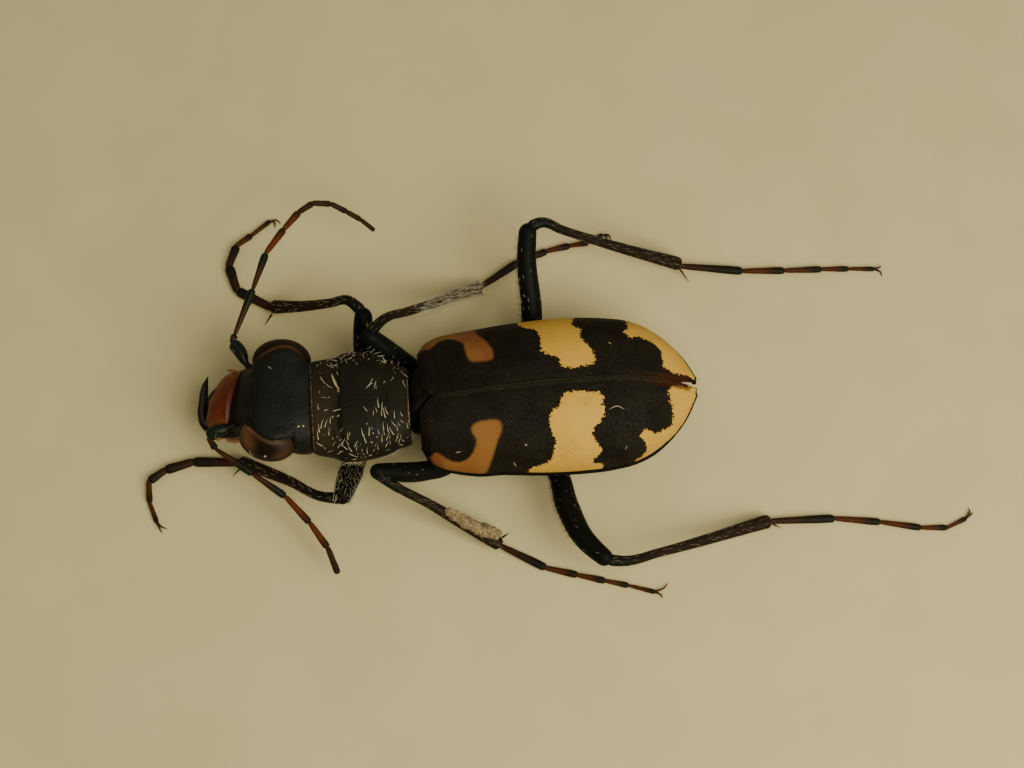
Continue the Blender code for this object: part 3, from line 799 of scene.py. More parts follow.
@dataclass(frozen=True)
class WrinkledFinish(Finish):
    """A wrinkled hard skin with a painted sheen: a brighter second colour where its sheen mark is painted."""

    # The second colour is a painted sheen, not a colour of the skin itself.
    tint: tuple = colour(0.05, 0.045, 0.02)
    pale: tuple = colour(0.15, 0.105, 0.05)
    wrinkles: float = 9.0
    depth: float = 0.5
    turn: float = 0.0

    def paint(self, bench: Bench, shader: Node, ground: Wire, height: Wire) -> tuple:
        """Paints the painted sheen and the pale edge lines, and adds the wrinkles' height.

        Args:
            bench: The material's bench.
            shader: Its shader; not used.
            ground: Colour so far.
            height: Height so far.

        Returns:
            The painted colour and the height.
        """
        wrinkle = bench.group(Effects.wrinkle(), Scale=self.wrinkles, Turn=self.turn)
        height = bench.sum("ADD", height, bench.sum("MULTIPLY", wrinkle.outputs[0], self.depth))
        # Painted sheen: the brighter second colour laid where the sheen mark is painted.
        painted = bench.blend(bench.mark("tint"), ground, self.tint)
        edge = bench.group(Effects.ragged(), Distance=bench.mark("edge"), Raggedness=0.08, Softness=0.012,
            Scale=7.0)
        return bench.blend(bench.sum("MULTIPLY", edge.outputs[0], 0.85), painted, self.pale), height


@dataclass(frozen=True)
class EyeFinish(Finish):
    """A satin eye, dark with tan bands and a pale rim."""

    tan: tuple = colour(0.085, 0.042, 0.018)
    rim: tuple = colour(0.16, 0.1, 0.045)

    def paint(self, bench: Bench, shader: Node, ground: Wire, height: Wire) -> tuple:
        """Paints the bands and the rim."""
        banded = bench.blend(bench.mark("band"), ground, self.tan)
        return bench.blend(bench.mark("rim"), banded, self.rim), height


@dataclass(frozen=True)
class LimbFinish(Finish):
    """A limb that changes colour from its base to its tip."""

    base: tuple = colour(0.05, 0.012, 0.006)
    tip: tuple = colour(0.012, 0.018, 0.012)
    turn_low: float = 0.45
    turn_high: float = 0.85
    roughness: float = 0.48
    shine: float = 0.06
    grains: float = 22.0
    bump: float = 0.2

    def paint(self, bench: Bench, shader: Node, ground: Wire, height: Wire) -> tuple:
        """Paints the base and the tip over the ground by the limb's own place mark."""
        ends = bench.blend(bench.ramp(bench.mark("place"), self.turn_low, self.turn_high), self.base,
            self.tip)
        return bench.blend(0.85, ground, ends), height


@dataclass(frozen=True)
class LipFinish(Finish):
    """The upper lip: deep red at its base, amber at its edges."""

    amber: tuple = colour(0.15, 0.054, 0.016)
    dark: tuple = colour(0.02, 0.0035, 0.0015)

    def paint(self, bench: Bench, shader: Node, ground: Wire, height: Wire) -> tuple:
        """Paints the amber edge and the dark base."""
        painted = bench.blend(bench.mark("amber"), ground, self.amber)
        return bench.blend(bench.mark("dark"), painted, self.dark), height


BLACK = Finish(
    "plate_black", colour(0.0032, 0.0026, 0.0016), colour(0.0052, 0.0036, 0.0022), roughness=0.62, shine=0.05,
    bump=0.6, relief=0.03,
)
JAW = Finish(
    "jaw_black", colour(0.0022, 0.002, 0.0016), colour(0.005, 0.003, 0.0018), roughness=0.28, shine=0.22,
    grains=20.0,
    bump=0.08,
)
# The head's second colour is a purplish painted sheen across the front of the face.
HEAD = WrinkledFinish(
    "wrinkled_blue_black", colour(0.0034, 0.0046, 0.0036), colour(0.0054, 0.0066, 0.0048), roughness=0.48,
    shine=0.1,
    grains=15.0, bump=0.4, relief=0.024, wrinkles=13.0, depth=0.45, tint=colour(0.012, 0.0065, 0.0075),
    fleck=colour(0.036, 0.039, 0.027), fleck_limit=0.67,
)
# The pronotum's second colour is a brown painted sheen on its front lobe.
PRONOTUM = WrinkledFinish(
    "olive_black", colour(0.0058, 0.006, 0.0032), colour(0.0088, 0.0086, 0.0042), roughness=0.54, shine=0.07,
    grains=15.0, bump=0.32, relief=0.02, wrinkles=9.0, depth=0.22, turn=1.2,
    tint=colour(0.02, 0.0135, 0.0062),
    fleck=colour(0.05, 0.045, 0.025), fleck_limit=0.72,
)
UNDERSIDE = Finish("green_black", colour(0.004, 0.007, 0.0055), colour(0.006, 0.011, 0.007),
    roughness=0.36, metallic=0.2)
ELYTRA = ElytraFinish(
    "velvet_black", colour(0.005, 0.0044, 0.0026), colour(0.008, 0.0072, 0.004), roughness=0.6, shine=0.06,
    grains=15.0, bump=0.75, relief=0.028, fleck=colour(0.034, 0.031, 0.016), fleck_limit=0.655,
)
EYE = EyeFinish(
    "dark_eye", colour(0.0036, 0.0025, 0.0014), colour(0.0075, 0.0042, 0.0022), roughness=0.45, shine=0.08,
    grains=38.0,
    bump=0.12, relief=0.006, fleck_limit=NO_FLECKS,
)
LIP = LipFinish(
    "lip_red", colour(0.072, 0.0105, 0.004), colour(0.105, 0.018, 0.006), roughness=0.4, shine=0.12,
    grains=8.0,
    bump=0.1, fleck_limit=NO_FLECKS,
)
PALP = Finish(
    "palp_skin", colour(0.26, 0.13, 0.035), colour(0.17, 0.075, 0.018), roughness=0.38, grains=12.0, bump=0.1,
    fleck_limit=NO_FLECKS,
)
THIGH = LimbFinish(
    "thigh_black", base=colour(0.0032, 0.0034, 0.002), tip=colour(0.0024, 0.0036, 0.0024), roughness=0.5,
    shine=0.05, grains=18.0, bump=0.25,
)
SHIN = LimbFinish(
    "shin_brown_black", base=colour(0.0034, 0.0056, 0.003), tip=colour(0.013, 0.008, 0.0038),
    turn_low=0.05, turn_high=0.35, grains=18.0, bump=0.25,
)
TOE_DARK = LimbFinish(
    "toe_dark", base=colour(0.024, 0.0088, 0.003), tip=colour(0.0064, 0.0066, 0.0034), turn_low=0.2,
    turn_high=0.8,
)
TOE = LimbFinish(
    "toe_joint_red", base=colour(0.052, 0.0145, 0.0038), tip=colour(0.008, 0.0074, 0.0036),
)
SCAPE = LimbFinish(
    "feeler_green", base=colour(0.005, 0.0055, 0.004), tip=colour(0.0042, 0.0095, 0.005), turn_low=0.2,
    turn_high=0.7, roughness=0.36, shine=0.12, metallic=0.1, grains=20.0, bump=0.15,
)
FEELER_BROWN = LimbFinish(
    "feeler_brown_green", base=colour(0.036, 0.0098, 0.0034), tip=colour(0.0042, 0.0082, 0.0042),
    turn_low=0.35, turn_high=0.75, roughness=0.42, shine=0.07,
)
FEELER_RED = LimbFinish(
    "feeler_red", base=colour(0.082, 0.018, 0.0042), tip=colour(0.018, 0.008, 0.0034), turn_low=0.5,
    turn_high=0.98, roughness=0.5, grains=26.0, bump=0.3,
)
FEELER_DUSK = LimbFinish(
    "feeler_dusk", base=colour(0.026, 0.0105, 0.004), tip=colour(0.012, 0.007, 0.0034), roughness=0.52,
    grains=26.0, bump=0.3,
)
CLAW = Finish(
    "claw_red_brown", colour(0.04, 0.0095, 0.003), colour(0.018, 0.0055, 0.0024), roughness=0.34,
    shine=0.12, grains=20.0,
    bump=0.08, fleck_limit=NO_FLECKS,
)
MUD = Finish(
    "dry_mud", colour(0.23, 0.17, 0.083), colour(0.13, 0.093, 0.045), clouds=5.0, roughness=0.9, shine=0.1,
    grains=12.0, bump=0.9, relief=0.05, fleck=colour(0.36, 0.28, 0.15), fleck_limit=0.6,
)
MEMBRANE = Finish("membrane_tan", colour(0.1, 0.062, 0.02), colour(0.05, 0.03, 0.011), roughness=0.45,
    grains=10.0)
LINT = Finish(
    "stray_lint", colour(0.3, 0.24, 0.13), colour(0.22, 0.16, 0.08), roughness=0.8, shine=0.1, grains=20.0,
    fleck_limit=NO_FLECKS,
)
WHITE_HAIR = Finish(
    "white_bristle", colour(0.5, 0.46, 0.31), colour(0.36, 0.32, 0.2), roughness=0.4, shine=0.3, grains=30.0,
    bump=0.05, fleck_limit=NO_FLECKS,
)
TAN_HAIR = Finish(
    "tan_bristle", colour(0.19, 0.155, 0.085), colour(0.29, 0.245, 0.145), roughness=0.45, shine=0.2,
    grains=30.0,
    bump=0.05, fleck_limit=NO_FLECKS,
)
BROWN_HAIR = Finish(
    "brown_bristle", colour(0.045, 0.03, 0.012), colour(0.085, 0.062, 0.028), roughness=0.45, shine=0.2,
    grains=30.0,
    bump=0.05, fleck_limit=NO_FLECKS,
)


@dataclass(frozen=True)
class Bristles:
    """One kind of bristle: how closely it stands, and how it is cut and combed."""

    spacing: float
    length: float
    thickness: float
    lean: float = 0.7
    jitter: float = 0.25
    spread: float = 0.35
    bend: float = 0.25
    finish: Finish = WHITE_HAIR
    seed: int = 1


class BristleBrush:
    """Grows bristles on a piece with Geometry Nodes, where a mark is painted on it."""

    TREE = "bristle_brush"
    SPOT = 0.003
    CONE_SIDES = 4
    LENGTHS = ("spacing", "length", "thickness")
    SHARES = ("lean", "jitter", "spread", "bend")
    TIP_SHARE = 0.2

    @cache
    def tree(self) -> Tree:
        """The brush's node tree, built once.

        Returns:
            The tree.
        """
        tree = bpy.data.node_groups.new(self.TREE, "GeometryNodeTree")
        sizes = ((label.title(), "Float") for label in self.LENGTHS + self.SHARES)
        for label, kind in (("Geometry",) * 2, ("Where", "String"), *sizes, ("Seed", "Int"),
            ("Finish", "Material")):
            tree.interface.new_socket(label, in_out="INPUT", socket_type=f"NodeSocket{kind}")
        tree.interface.new_socket("Geometry", in_out="OUTPUT", socket_type="NodeSocketGeometry")
        bench = Bench(tree)
        entry = bench.put("NodeGroupInput")
        leave = bench.put("NodeGroupOutput")
        given = entry.outputs
        where = bench.put("GeometryNodeInputNamedAttribute", {"Name": given["Where"]}, data_type="FLOAT")
        spacing = given["Spacing"]
        dense = bench.sum("DIVIDE", 1.2, bench.sum("MULTIPLY", spacing, spacing))
        scatter = bench.put(
            "GeometryNodeDistributePointsOnFaces",
            {"Mesh": given["Geometry"], "Distance Min": spacing, "Density Max": dense,
             "Density Factor": where.outputs[0], "Seed": given["Seed"]},
            distribute_method="POISSON",
        )
        unwrap = bench.put("GeometryNodeInputNamedAttribute", {"Name": UNWRAP}, data_type="FLOAT_VECTOR")
        rooted = bench.put(
            "GeometryNodeStoreNamedAttribute",
            {"Geometry": scatter.outputs["Points"], "Name": "root_spot", "Value": unwrap.outputs[0]},
            data_type="FLOAT_VECTOR", domain="POINT",
        )
        cone = bench.put(
            "GeometryNodeMeshCone",
            {"Vertices": self.CONE_SIDES, "Side Segments": self.CONE_SIDES, "Fill Segments": 1,
             "Radius Top": bench.sum("MULTIPLY", given["Thickness"], self.TIP_SHARE),
             "Radius Bottom": given["Thickness"], "Depth": given["Length"]},
            fill_type="TRIANGLE_FAN",
        )
        spot = bench.put("GeometryNodeInputPosition").outputs[0]
        parts = bench.put("ShaderNodeSeparateXYZ", {0: spot})
        rise = bench.sum("DIVIDE", parts.outputs[2], given["Length"])
        curl = bench.sum("MULTIPLY", bench.sum("MULTIPLY", rise, rise),
            bench.sum("MULTIPLY", given["Bend"], given["Length"]))
        offset = bench.put("ShaderNodeCombineXYZ", {0: curl})
        bent = bench.put("GeometryNodeSetPosition",
            {"Geometry": cone.outputs["Mesh"], "Offset": offset.outputs[0]})
        round_part = bench.sum("DIVIDE", parts.outputs[0], given["Thickness"])
        across = bench.sum("MULTIPLY", round_part, 0.5)
        blade = bench.put("ShaderNodeCombineXYZ", {0: across, 1: rise})
        bladed = bench.put(
            "GeometryNodeStoreNamedAttribute",
            {"Geometry": bent.outputs[0], "Name": "blade", "Value": blade.outputs[0]},
            data_type="FLOAT_VECTOR", domain="POINT",
        )
        comb = bench.put("GeometryNodeInputNamedAttribute", {"Name": "comb"}, data_type="FLOAT_VECTOR")
        random = bench.put("FunctionNodeRandomValue", {"Seed": given["Seed"]}, data_type="FLOAT_VECTOR")
        random.inputs[0].default_value = (-1.0, -1.0, -1.0)
        random.inputs[1].default_value = (1.0, 1.0, 1.0)
        upright = bench.sum("SUBTRACT", 1.0, given["Lean"])
        aim = bench.added(bench.scaled(scatter.outputs["Normal"], upright),
            bench.scaled(comb.outputs[0], given["Lean"]))
        aim = bench.added(aim, bench.scaled(random.outputs[0], given["Jitter"]))
        turn = bench.put("FunctionNodeAlignRotationToVector", {"Vector": aim}, axis="Z")
        size = bench.put("FunctionNodeRandomValue", {"Seed": given["Seed"]}, data_type="FLOAT")
        bench.feed(size, {2: bench.sum("SUBTRACT", 1.0, given["Spread"])})
        size.inputs[3].default_value = 1.0
        planted = bench.put(
            "GeometryNodeInstanceOnPoints",
            {"Points": rooted.outputs[0], "Instance": bladed.outputs[0], "Rotation": turn.outputs[0]},
        )
        bench.feed(planted, {"Scale": size.outputs[1]})
        real = bench.put("GeometryNodeRealizeInstances", {0: planted.outputs[0]})
        root = bench.put("GeometryNodeInputNamedAttribute", {"Name": "root_spot"}, data_type="FLOAT_VECTOR")
        own = bench.put("GeometryNodeInputNamedAttribute", {"Name": "blade"}, data_type="FLOAT_VECTOR")
        patch = bench.added(root.outputs[0], bench.scaled(own.outputs[0], self.SPOT))
        baked = bench.put(
            "GeometryNodeStoreNamedAttribute",
            {"Geometry": real.outputs[0], "Name": "OFBake", "Value": patch}, data_type="FLOAT2",
            domain="CORNER",
        )
        smooth = bench.put("GeometryNodeSetShadeSmooth", {"Geometry": baked.outputs[0]})
        finished = bench.put("GeometryNodeSetMaterial",
            {"Geometry": smooth.outputs[0], "Material": given["Finish"]})
        bench.feed(leave, {"Geometry": finished.outputs[0]})
        return tree

    def grow(self, name: str, skin: Piece, where: str, bristles: Bristles) -> Piece | None:
        """Grows one coat.

        Args:
            name: Name of the coat.
            skin: The piece that it grows on.
            where: The mark that says how densely it grows, from 0 to 1.
            bristles: The kind of bristle.

        Returns:
            The coat as a plain mesh object, or None where nothing grows.
        """
        tree = self.tree()
        worker = bpy.data.objects.new(name + "_worker", skin.data)
        bpy.context.scene.collection.objects.link(worker)
        modifier = worker.modifiers.new("brush", "NODES")
        modifier.node_group = tree
        values = {"Where": where, "Seed": bristles.seed, "Finish": bristles.finish.material()}
        values |= {label.title(): getattr(bristles, label) * MM for label in self.LENGTHS}
        values |= {label.title(): getattr(bristles, label) for label in self.SHARES}
        for item in tree.interface.items_tree:
            if item.in_out == "INPUT" and item.name in values:
                modifier[item.identifier] = values[item.name]
        graph = bpy.context.evaluated_depsgraph_get()
        mesh = bpy.data.meshes.new_from_object(worker.evaluated_get(graph), preserve_all_data_layers=True,
            depsgraph=graph)
        bpy.data.objects.remove(worker, do_unlink=True)
        if not mesh.polygons:
            log.warning("%s: nothing grew", name)
            bpy.data.meshes.remove(mesh)
            return None
        mesh.name = name
        coat = bpy.data.objects.new(name, mesh)
        bpy.context.scene.collection.objects.link(coat)
        return seat(coat, skin.get("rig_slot", "black"))


@dataclass
class Head:
    """Head capsule, eyes, upper lip, jaws and palps, laid out ahead of the neck."""

    neck: tuple = (-4.3, 0.03, 0.0)
    yaw: float = math.radians(12.0)
    eye_middle: tuple = (1.3, 1.5, 3.32)
    eye_radii: tuple = (1.06, 0.79, 0.8)
    eye_turn: float = math.radians(7.0)
    brow: tuple = (
        (0.2, 1.1), (0.33, 1.35), (0.58, 1.59), (0.85, 1.7), (1.1, 1.74), (1.5, 1.62), (1.86, 1.38),
        (2.2, 1.12), (2.4, 0.95),
    )
    slope: float = math.radians(38.0)
    lip_place: float = 2.86
    lip_height: float = 3.02
    lip_length: float = 1.18
    lip_half_width: float = 1.1
    lip_skew: float = -0.11
    lip_corner: tuple = ((2.98, 0.98, 2.84), (3.2, 1.04, 2.76), (3.31, 1.07, 2.68))
    stations: tuple = (
        (-0.55, 1.3, 3.86, 2.34, 3.1, 2.4, -0.1),
        (-0.3, 1.58, 4.02, 2.14, 3.1, 2.4, -0.11),
        (0.1, 1.66, 4.12, 2.0, 3.1, 2.6, -0.1),
        (0.45, 1.62, 4.18, 1.94, 3.1, 4.0, -0.05),
        (0.75, 1.76, 4.22, 1.92, 3.1, 6.0, 0.0),
        (1.1, 1.84, 4.25, 1.9, 3.1, 6.0, 0.0),
        (1.5, 1.72, 4.22, 1.88, 3.06, 6.0, 0.0),
        (1.86, 1.47, 4.1, 1.88, 3.0, 5.0, 0.0),
        (2.2, 1.26, 3.88, 1.87, 2.9, 3.6, 0.0),
        (2.55, 1.18, 3.46, 1.86, 2.66, 2.8, 0.0),
        (2.85, 1.1, 3.06, 1.88, 2.45, 2.6, 0.0),
        (2.98, 0.96, 2.84, 1.96, 2.36, 2.5, 0.0),
        (3.02, 0.6, 2.6, 2.1, 2.34, 2.4, 0.0),
    )

    def to_body(self, points: Array) -> Array:
        """Turns places ahead of the neck, offsets and heights into the beetle's own layout.

        Args:
            points: Rows of place, offset and height.

        Returns:
            The same points in the beetle's own layout.
        """
        ahead = np.array([-math.cos(self.yaw), math.sin(self.yaw), 0.0])
        aside = np.array([math.sin(self.yaw), math.cos(self.yaw), 0.0])
        points = np.asarray(points, float)
        turned = np.asarray(self.neck) + points[..., :1] * ahead + points[..., 1:2] * aside
        return turned + points[..., 2:] * UP

    def on_face(self, along: Array, offset: Array, outward: Array, start: Array) -> Array:
        """Places on the sloping face below the brow, as places ahead of the neck.

        Args:
            along: How far down the face.
            offset: How far to the side.
            outward: How far off the face.
            start: Shift of the face's upper edge.

        Returns:
            Rows of place, offset and height.
        """
        place = self.lip_place + start + along * math.cos(self.slope) + outward * math.sin(self.slope)
        height = self.lip_height - along * math.sin(self.slope) + outward * math.cos(self.slope)
        return np.stack(np.broadcast_arrays(place, offset, height), axis=-1)

    def brow_at(self, place: Array) -> Array:
        """How far out the brow plate's edge runs at each place."""
        knots, offsets = zip(*self.brow)
        return eased(knots, offsets, place.ravel()).reshape(place.shape)

    def capsule(self) -> Skin:
        """The head's hard shell with its brow plates over the eyes, face groove and sunken crown.

        Returns:
            The shell's skin.
        """
        points, upward = lofted(self.stations, 200, 240)
        skin = Skin(points)
        place, side = points[..., 0], points[..., 1]
        offset = np.abs(side)
        inside = self.brow_at(place) - offset
        over = step(0.1, 0.35, upward) * step(0.24, 0.5, place) * step(2.42, 2.1, place)
        plate = step(-0.02, 0.06, inside) * step(0.5, 0.1, inside)
        height = over * (0.07 * plate - 0.13 * step(0.0, -0.08, inside))
        height += -0.05 * hump(offset, 0.0, 0.7) * hump(place, 1.2, 0.7) * step(0.2, 0.6, upward)
        height += -0.03 * hump(place, 2.74 - 0.05 * side**2, 0.05) * step(0.1, 0.4, upward)
        height += 0.03 * hump(offset, 0.95, 0.16) * hump(place, 2.0, 0.3) * step(0.1, 0.5, upward)
        height += -0.03 * hump(offset, 0.55, 0.18) * hump(place, 2.2, 0.22) * step(0.1, 0.5, upward)
        height += 0.003 * np.sin(offset * 46.0) * hump(offset, 1.25, 0.28) * over
        skin.emboss(height)
        # Painted sheen: a purplish sheen painted across the front of the face.
        skin.marks["tint"] = 0.9 * step(2.66, 2.8, place + 0.05 * side**2) * step(-0.1, 0.2, upward)
        skin.marks["edge"] = np.where(over > 0.3, 0.01 - np.abs(inside), -1.0)
        skin.marks["cheek"] = step(-0.1, -0.5, upward) * step(0.2, 0.8, place)
        skin.points = self.to_body(skin.points)
        skin.comb((-0.7, 0.1, -0.3))
        return skin

    def eye(self, side: Side) -> Skin:
        """A bulging eye with its tan bands, toed in under the brow plate.

        Args:
            side: Which eye.

        Returns:
            The eye's skin.
        """
        skin = ball((0.0, 0.0, 0.0), (1.0, 1.0, 1.0), 96, 128)
        unit = skin.points
        local = unit * np.asarray(self.eye_radii)
        turn = self.eye_turn
        place = self.eye_middle[0] + local[..., 0] * math.cos(turn) + local[..., 1] * math.sin(turn)
        offset = self.eye_middle[1] + local[..., 1] * math.cos(turn) - local[..., 0] * math.sin(turn)
        height = self.eye_middle[2] + local[..., 2]
        inner = offset - self.brow_at(place)
        front, top = unit[..., 0], unit[..., 2]
        if side is Side.RIGHT:
            band = 0.55 * hump(inner, 0.1, 0.07) * step(-0.8, -0.3, front)
            band = band * step(0.95, 0.6, front) * step(0.2, 0.5, top)
            rim = 0.12 * hump(top, -0.16, 0.05)
        else:
            wedge = step(0.05, 0.65, front) * hump(top, 0.62, 0.34)
            crescent = 0.5 * hump(inner, 0.08, 0.06) * step(-0.9, -0.4, front)
            lobe = 0.45 * hump(front, -0.68, 0.26) * hump(top, 0.35, 0.35)
            band = wedge + crescent + lobe
            rim = 0.5 * hump(top, -0.16, 0.04)
        skin.marks["band"] = np.clip(band, 0.0, 1.0)
        skin.marks["rim"] = rim
        skin.points = self.to_body(np.stack([place, offset * side.value, height], axis=-1))
        return skin

    def lip(self) -> list[Skin]:
        """The domed upper lip with its toothed front edge and the small tooth at its right corner.

        Returns:
            The lip's skin and the corner tooth's.
        """
        rows, columns = 70, 96
        part = np.sin(np.linspace(0.0, 0.497 * math.pi, rows))[:, None]
        angle = np.linspace(0.0, 2.0 * math.pi, columns, endpoint=False)[None]
        narrowing = (1.0 - part**5) ** (1.0 / 2.2)
        offset = self.lip_half_width * narrowing * np.cos(angle)
        tooth = 0.032 * np.cos(offset * 8.5) * step(0.75, 0.98, part)
        along = (self.lip_length - 0.06 * offset) * part * (1.0 + tooth)
        crown = 0.2 * (1.0 - (offset / self.lip_half_width) ** 2) * (1.0 - part * part)
        outward = 0.21 * (0.35 + 0.65 * narrowing) * np.sin(angle) + crown - 0.17
        points = self.on_face(along, offset - 0.08 * along, outward, self.lip_skew * offset)
        skin = Skin(self.to_body(points))
        edge = np.maximum(part, np.abs(offset) / self.lip_half_width)
        skin.marks["amber"] = 0.8 * step(0.62, 0.98, edge)
        skin.marks["dark"] = np.broadcast_to(0.5 * step(0.09, 0.0, part), offset.shape)
        skin.marks["fringe"] = step(0.8, 0.92, part) * step(-0.2, 0.3, np.sin(angle))
        heading = self.to_body(np.array([1.0, 0.0, -0.6])) - self.to_body(np.zeros(3))
        skin.comb(heading)
        route = self.to_body(np.array(self.lip_corner))
        corner = tube(path_through(route, 12), np.linspace(0.07, 0.012, 12), 10)
        corner.marks = {"amber": np.ones((12, 10))}
        return [skin, corner]

    def jaw(self, side: Side) -> list[Skin]:
        """A curved sickle jaw with two inner teeth.

        Args:
            side: Which jaw.

        Returns:
            The jaw's skin and its teeth's.
        """
        routes = {
            Side.LEFT: ((2.5, -0.88, 1.98), (3.0, -1.0, 1.85), (3.45, -0.98, 1.75), (3.86, -0.76, 1.7),
                        (4.02, -0.4, 1.7), (4.06, -0.02, 1.7), (4.1, 0.3, 1.7), (4.11, 0.68, 1.7),
                        (4.07, 1.01, 1.7)),
            Side.RIGHT: ((2.45, 0.86, 1.9), (2.95, 1.02, 1.4), (3.45, 0.92, 1.05), (3.8, 0.55, 0.92),
                         (4.02, 0.0, 0.86), (4.06, -0.42, 0.86), (3.98, -0.8, 0.88)),
        }
        line = path_through([self.to_body(np.array(point)) for point in routes[side]], 70)
        places = np.linspace(0.0, 1.0, 70)
        radii = eased((0.0, 0.2, 0.45, 0.7, 0.88, 1.0), (0.27, 0.26, 0.2, 0.17, 0.12, 0.012), places)
        skins = [tube(line, radii, 24, 0.72)]
        centre = self.to_body(np.array([3.1, 0.0, line[:, 2].mean()]))
        for share, length in ((0.42, 0.3), (0.56, 0.24)):
            root = line[int(share * 69)]
            inward = unit(centre - root)
            tip = root + inward * length + np.array([0.0, 0.0, -0.02])
            skins.append(tube(path_through([root, 0.5 * (root + tip), tip], 10),
                np.linspace(0.13, 0.015, 10), 14, 0.7))
        return skins

    def palps(self, side: Side) -> list[Skin]:
        """Jointed palps under the jaws on one side.

        Args:
            side: Which side's palps.

        Returns:
            One skin for each joint.
        """
        routes = {
            Side.LEFT: (
                ((2.3, -0.5, 1.62), (2.8, -0.8, 1.12), (3.15, -0.9, 0.92), (3.52, -1.02, 0.8)),
                ((2.05, -0.85, 1.8), (2.45, -1.12, 1.55), (2.8, -1.2, 1.4), (3.05, -1.1, 1.3)),
            ),
            Side.RIGHT: (
                ((1.95, 0.8, 1.65), (2.3, 1.4, 1.28), (2.52, 1.66, 1.1), (2.74, 1.86, 0.96)),
            ),
        }
        skins = []
        for route in routes[side]:
            joints = [self.to_body(np.array(point)) for point in route]
            for first, last in zip(joints, joints[1:]):
                skins.append(segment(first, last, 0.075, 0.105))
        return skins

    def build(self, brush: BristleBrush) -> None:
        """Casts every piece of the head.

        Args:
            brush: Grows the hair.
        """
        shell = Mould("head_shell").add(self.capsule()).cast([HEAD], "blue_black", ["head"])
        for side in Side:
            Mould(f"eye_{side.word}_fine").add(self.eye(side)).cast([EYE], "eye", [f"eye_{side.word}"])
            Mould(f"jaw_{side.word}").add(*self.jaw(side)).cast([JAW], "black", [f"mandible_{side.word}"])
            Mould(f"palp_{side.word}_fine").add(*self.palps(side)).cast([PALP], "palp_cream",
                [f"palp_{side.word}"])
        lip = Mould("upper_lip").add(*self.lip()).cast([LIP], "labrum_red", ["labrum"])
        brush.grow("lip_fringe", lip, "fringe",
            Bristles(0.16, 0.42, 0.009, lean=0.75, jitter=0.2, finish=BROWN_HAIR))
        brush.grow("cheek_hairs", shell, "cheek", Bristles(0.22, 0.32, 0.008, lean=0.6, jitter=0.3))


def segment(first: Array, last: Array, neck: float, swell: float, rise: float = 1.0, finish: int = 0,
            overlap: float = 0.04) -> Skin:
    """One joint of a feeler, palp or foot.

    Args:
        first: Its base.
        last: Its tip.
        neck: Radius at its base.
        swell: Greatest radius, near its tip.
        rise: Height of the cross-section as a share of its width.
        finish: Number of its finish.
        overlap: How far its base reaches back into the joint before.

    Returns:
        The joint's skin.
    """
    first, last = np.asarray(first, float), np.asarray(last, float)
    first = first - unit(last - first) * overlap
    places, factor = end_rounding(28, 0.06, 0.8 * swell / np.linalg.norm(last - first))
    radii = eased((0.0, 0.12, 0.45, 0.84, 1.0),
        (neck * 0.8, neck, 0.5 * (neck + swell), swell, swell * 0.95), places)
    path = first + (last - first) * places[:, None]
    skin = tube(path, radii * factor, 20, rise)
    skin.marks["place"] = np.repeat(places[:, None], 20, axis=1)
    skin.finish = finish
    return skin


@dataclass
class Feeler:
    """One feeler: the long first joint, the small second one and the rest."""

    side: Side
    scape: tuple
    joints: tuple
    split: int = 4

    WIDTHS = (
        (0.085, 0.13), (0.085, 0.14), (0.085, 0.14), (0.1, 0.135), (0.1, 0.135),
        (0.1, 0.12), (0.1, 0.115), (0.095, 0.105), (0.09, 0.1), (0.08, 0.085),
    )

    def build(self, brush: BristleBrush) -> None:
        """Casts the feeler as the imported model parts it.

        Args:
            brush: Grows the hair.
        """
        word = self.side.word
        line = path_through(self.scape, 44)
        places = np.linspace(0.0, 1.0, 44)
        radii = eased((0.0, 0.06, 0.14, 0.45, 0.8, 0.94, 1.0), (0.14, 0.13, 0.11, 0.21, 0.23, 0.19, 0.08),
            places)
        scape = tube(line, radii, 28)
        scape.marks["sparse"] = step(0.2, 0.5, scape.marks["place"]) * 0.6
        socket = ball(self.scape[0], (0.19, 0.19, 0.17), 20, 28)
        socket.marks["place"] = np.zeros(socket.points.shape[:2])
        root = Mould(f"feeler_{word}_root").add(scape, socket).cast([SCAPE], "antenna_green",
            [f"antenna_{word}_scape"])
        brush.grow(f"feeler_{word}_root_hairs", root, "sparse", Bristles(0.28, 0.26, 0.008, lean=0.5))
        joints = [np.asarray(joint, float) for joint in self.joints]
        base, rest = Mould(f"feeler_{word}_base"), Mould(f"feeler_{word}_tip")
        for index, (first, last) in enumerate(zip(joints, joints[1:])):
            skin = segment(first, last, *self.WIDTHS[index])
            skin.marks["fuzz"] = np.full(skin.points.shape[:2], 0.0 if index < 4 else 1.0)
            skin.marks["stiff"] = step(0.55, 0.8, skin.marks["place"]) * (1.0 if index < 4 else 0.25)
            if index < self.split:
                skin.finish = 0 if index < 3 else 1
                base.add(skin)
            else:
                skin.finish = 0 if index < 5 else 1
                rest.add(skin)
        made = base.cast([FEELER_BROWN, FEELER_RED], "antenna_green", [f"antenna_{word}_base"])
        brush.grow(f"feeler_{word}_base_hairs", made, "stiff",
            Bristles(0.16, 0.16, 0.007, lean=0.6, finish=BROWN_HAIR))
        made = rest.cast([FEELER_RED, FEELER_DUSK], "antenna_brown", [f"antenna_{word}_tip"])
        fuzz = Bristles(0.045, 0.055, 0.0035, lean=0.75, bend=0.1, finish=BROWN_HAIR)
        brush.grow(f"feeler_{word}_fuzz", made, "fuzz", fuzz)
        log.info("feeler_%s has %d joints", word, len(joints))


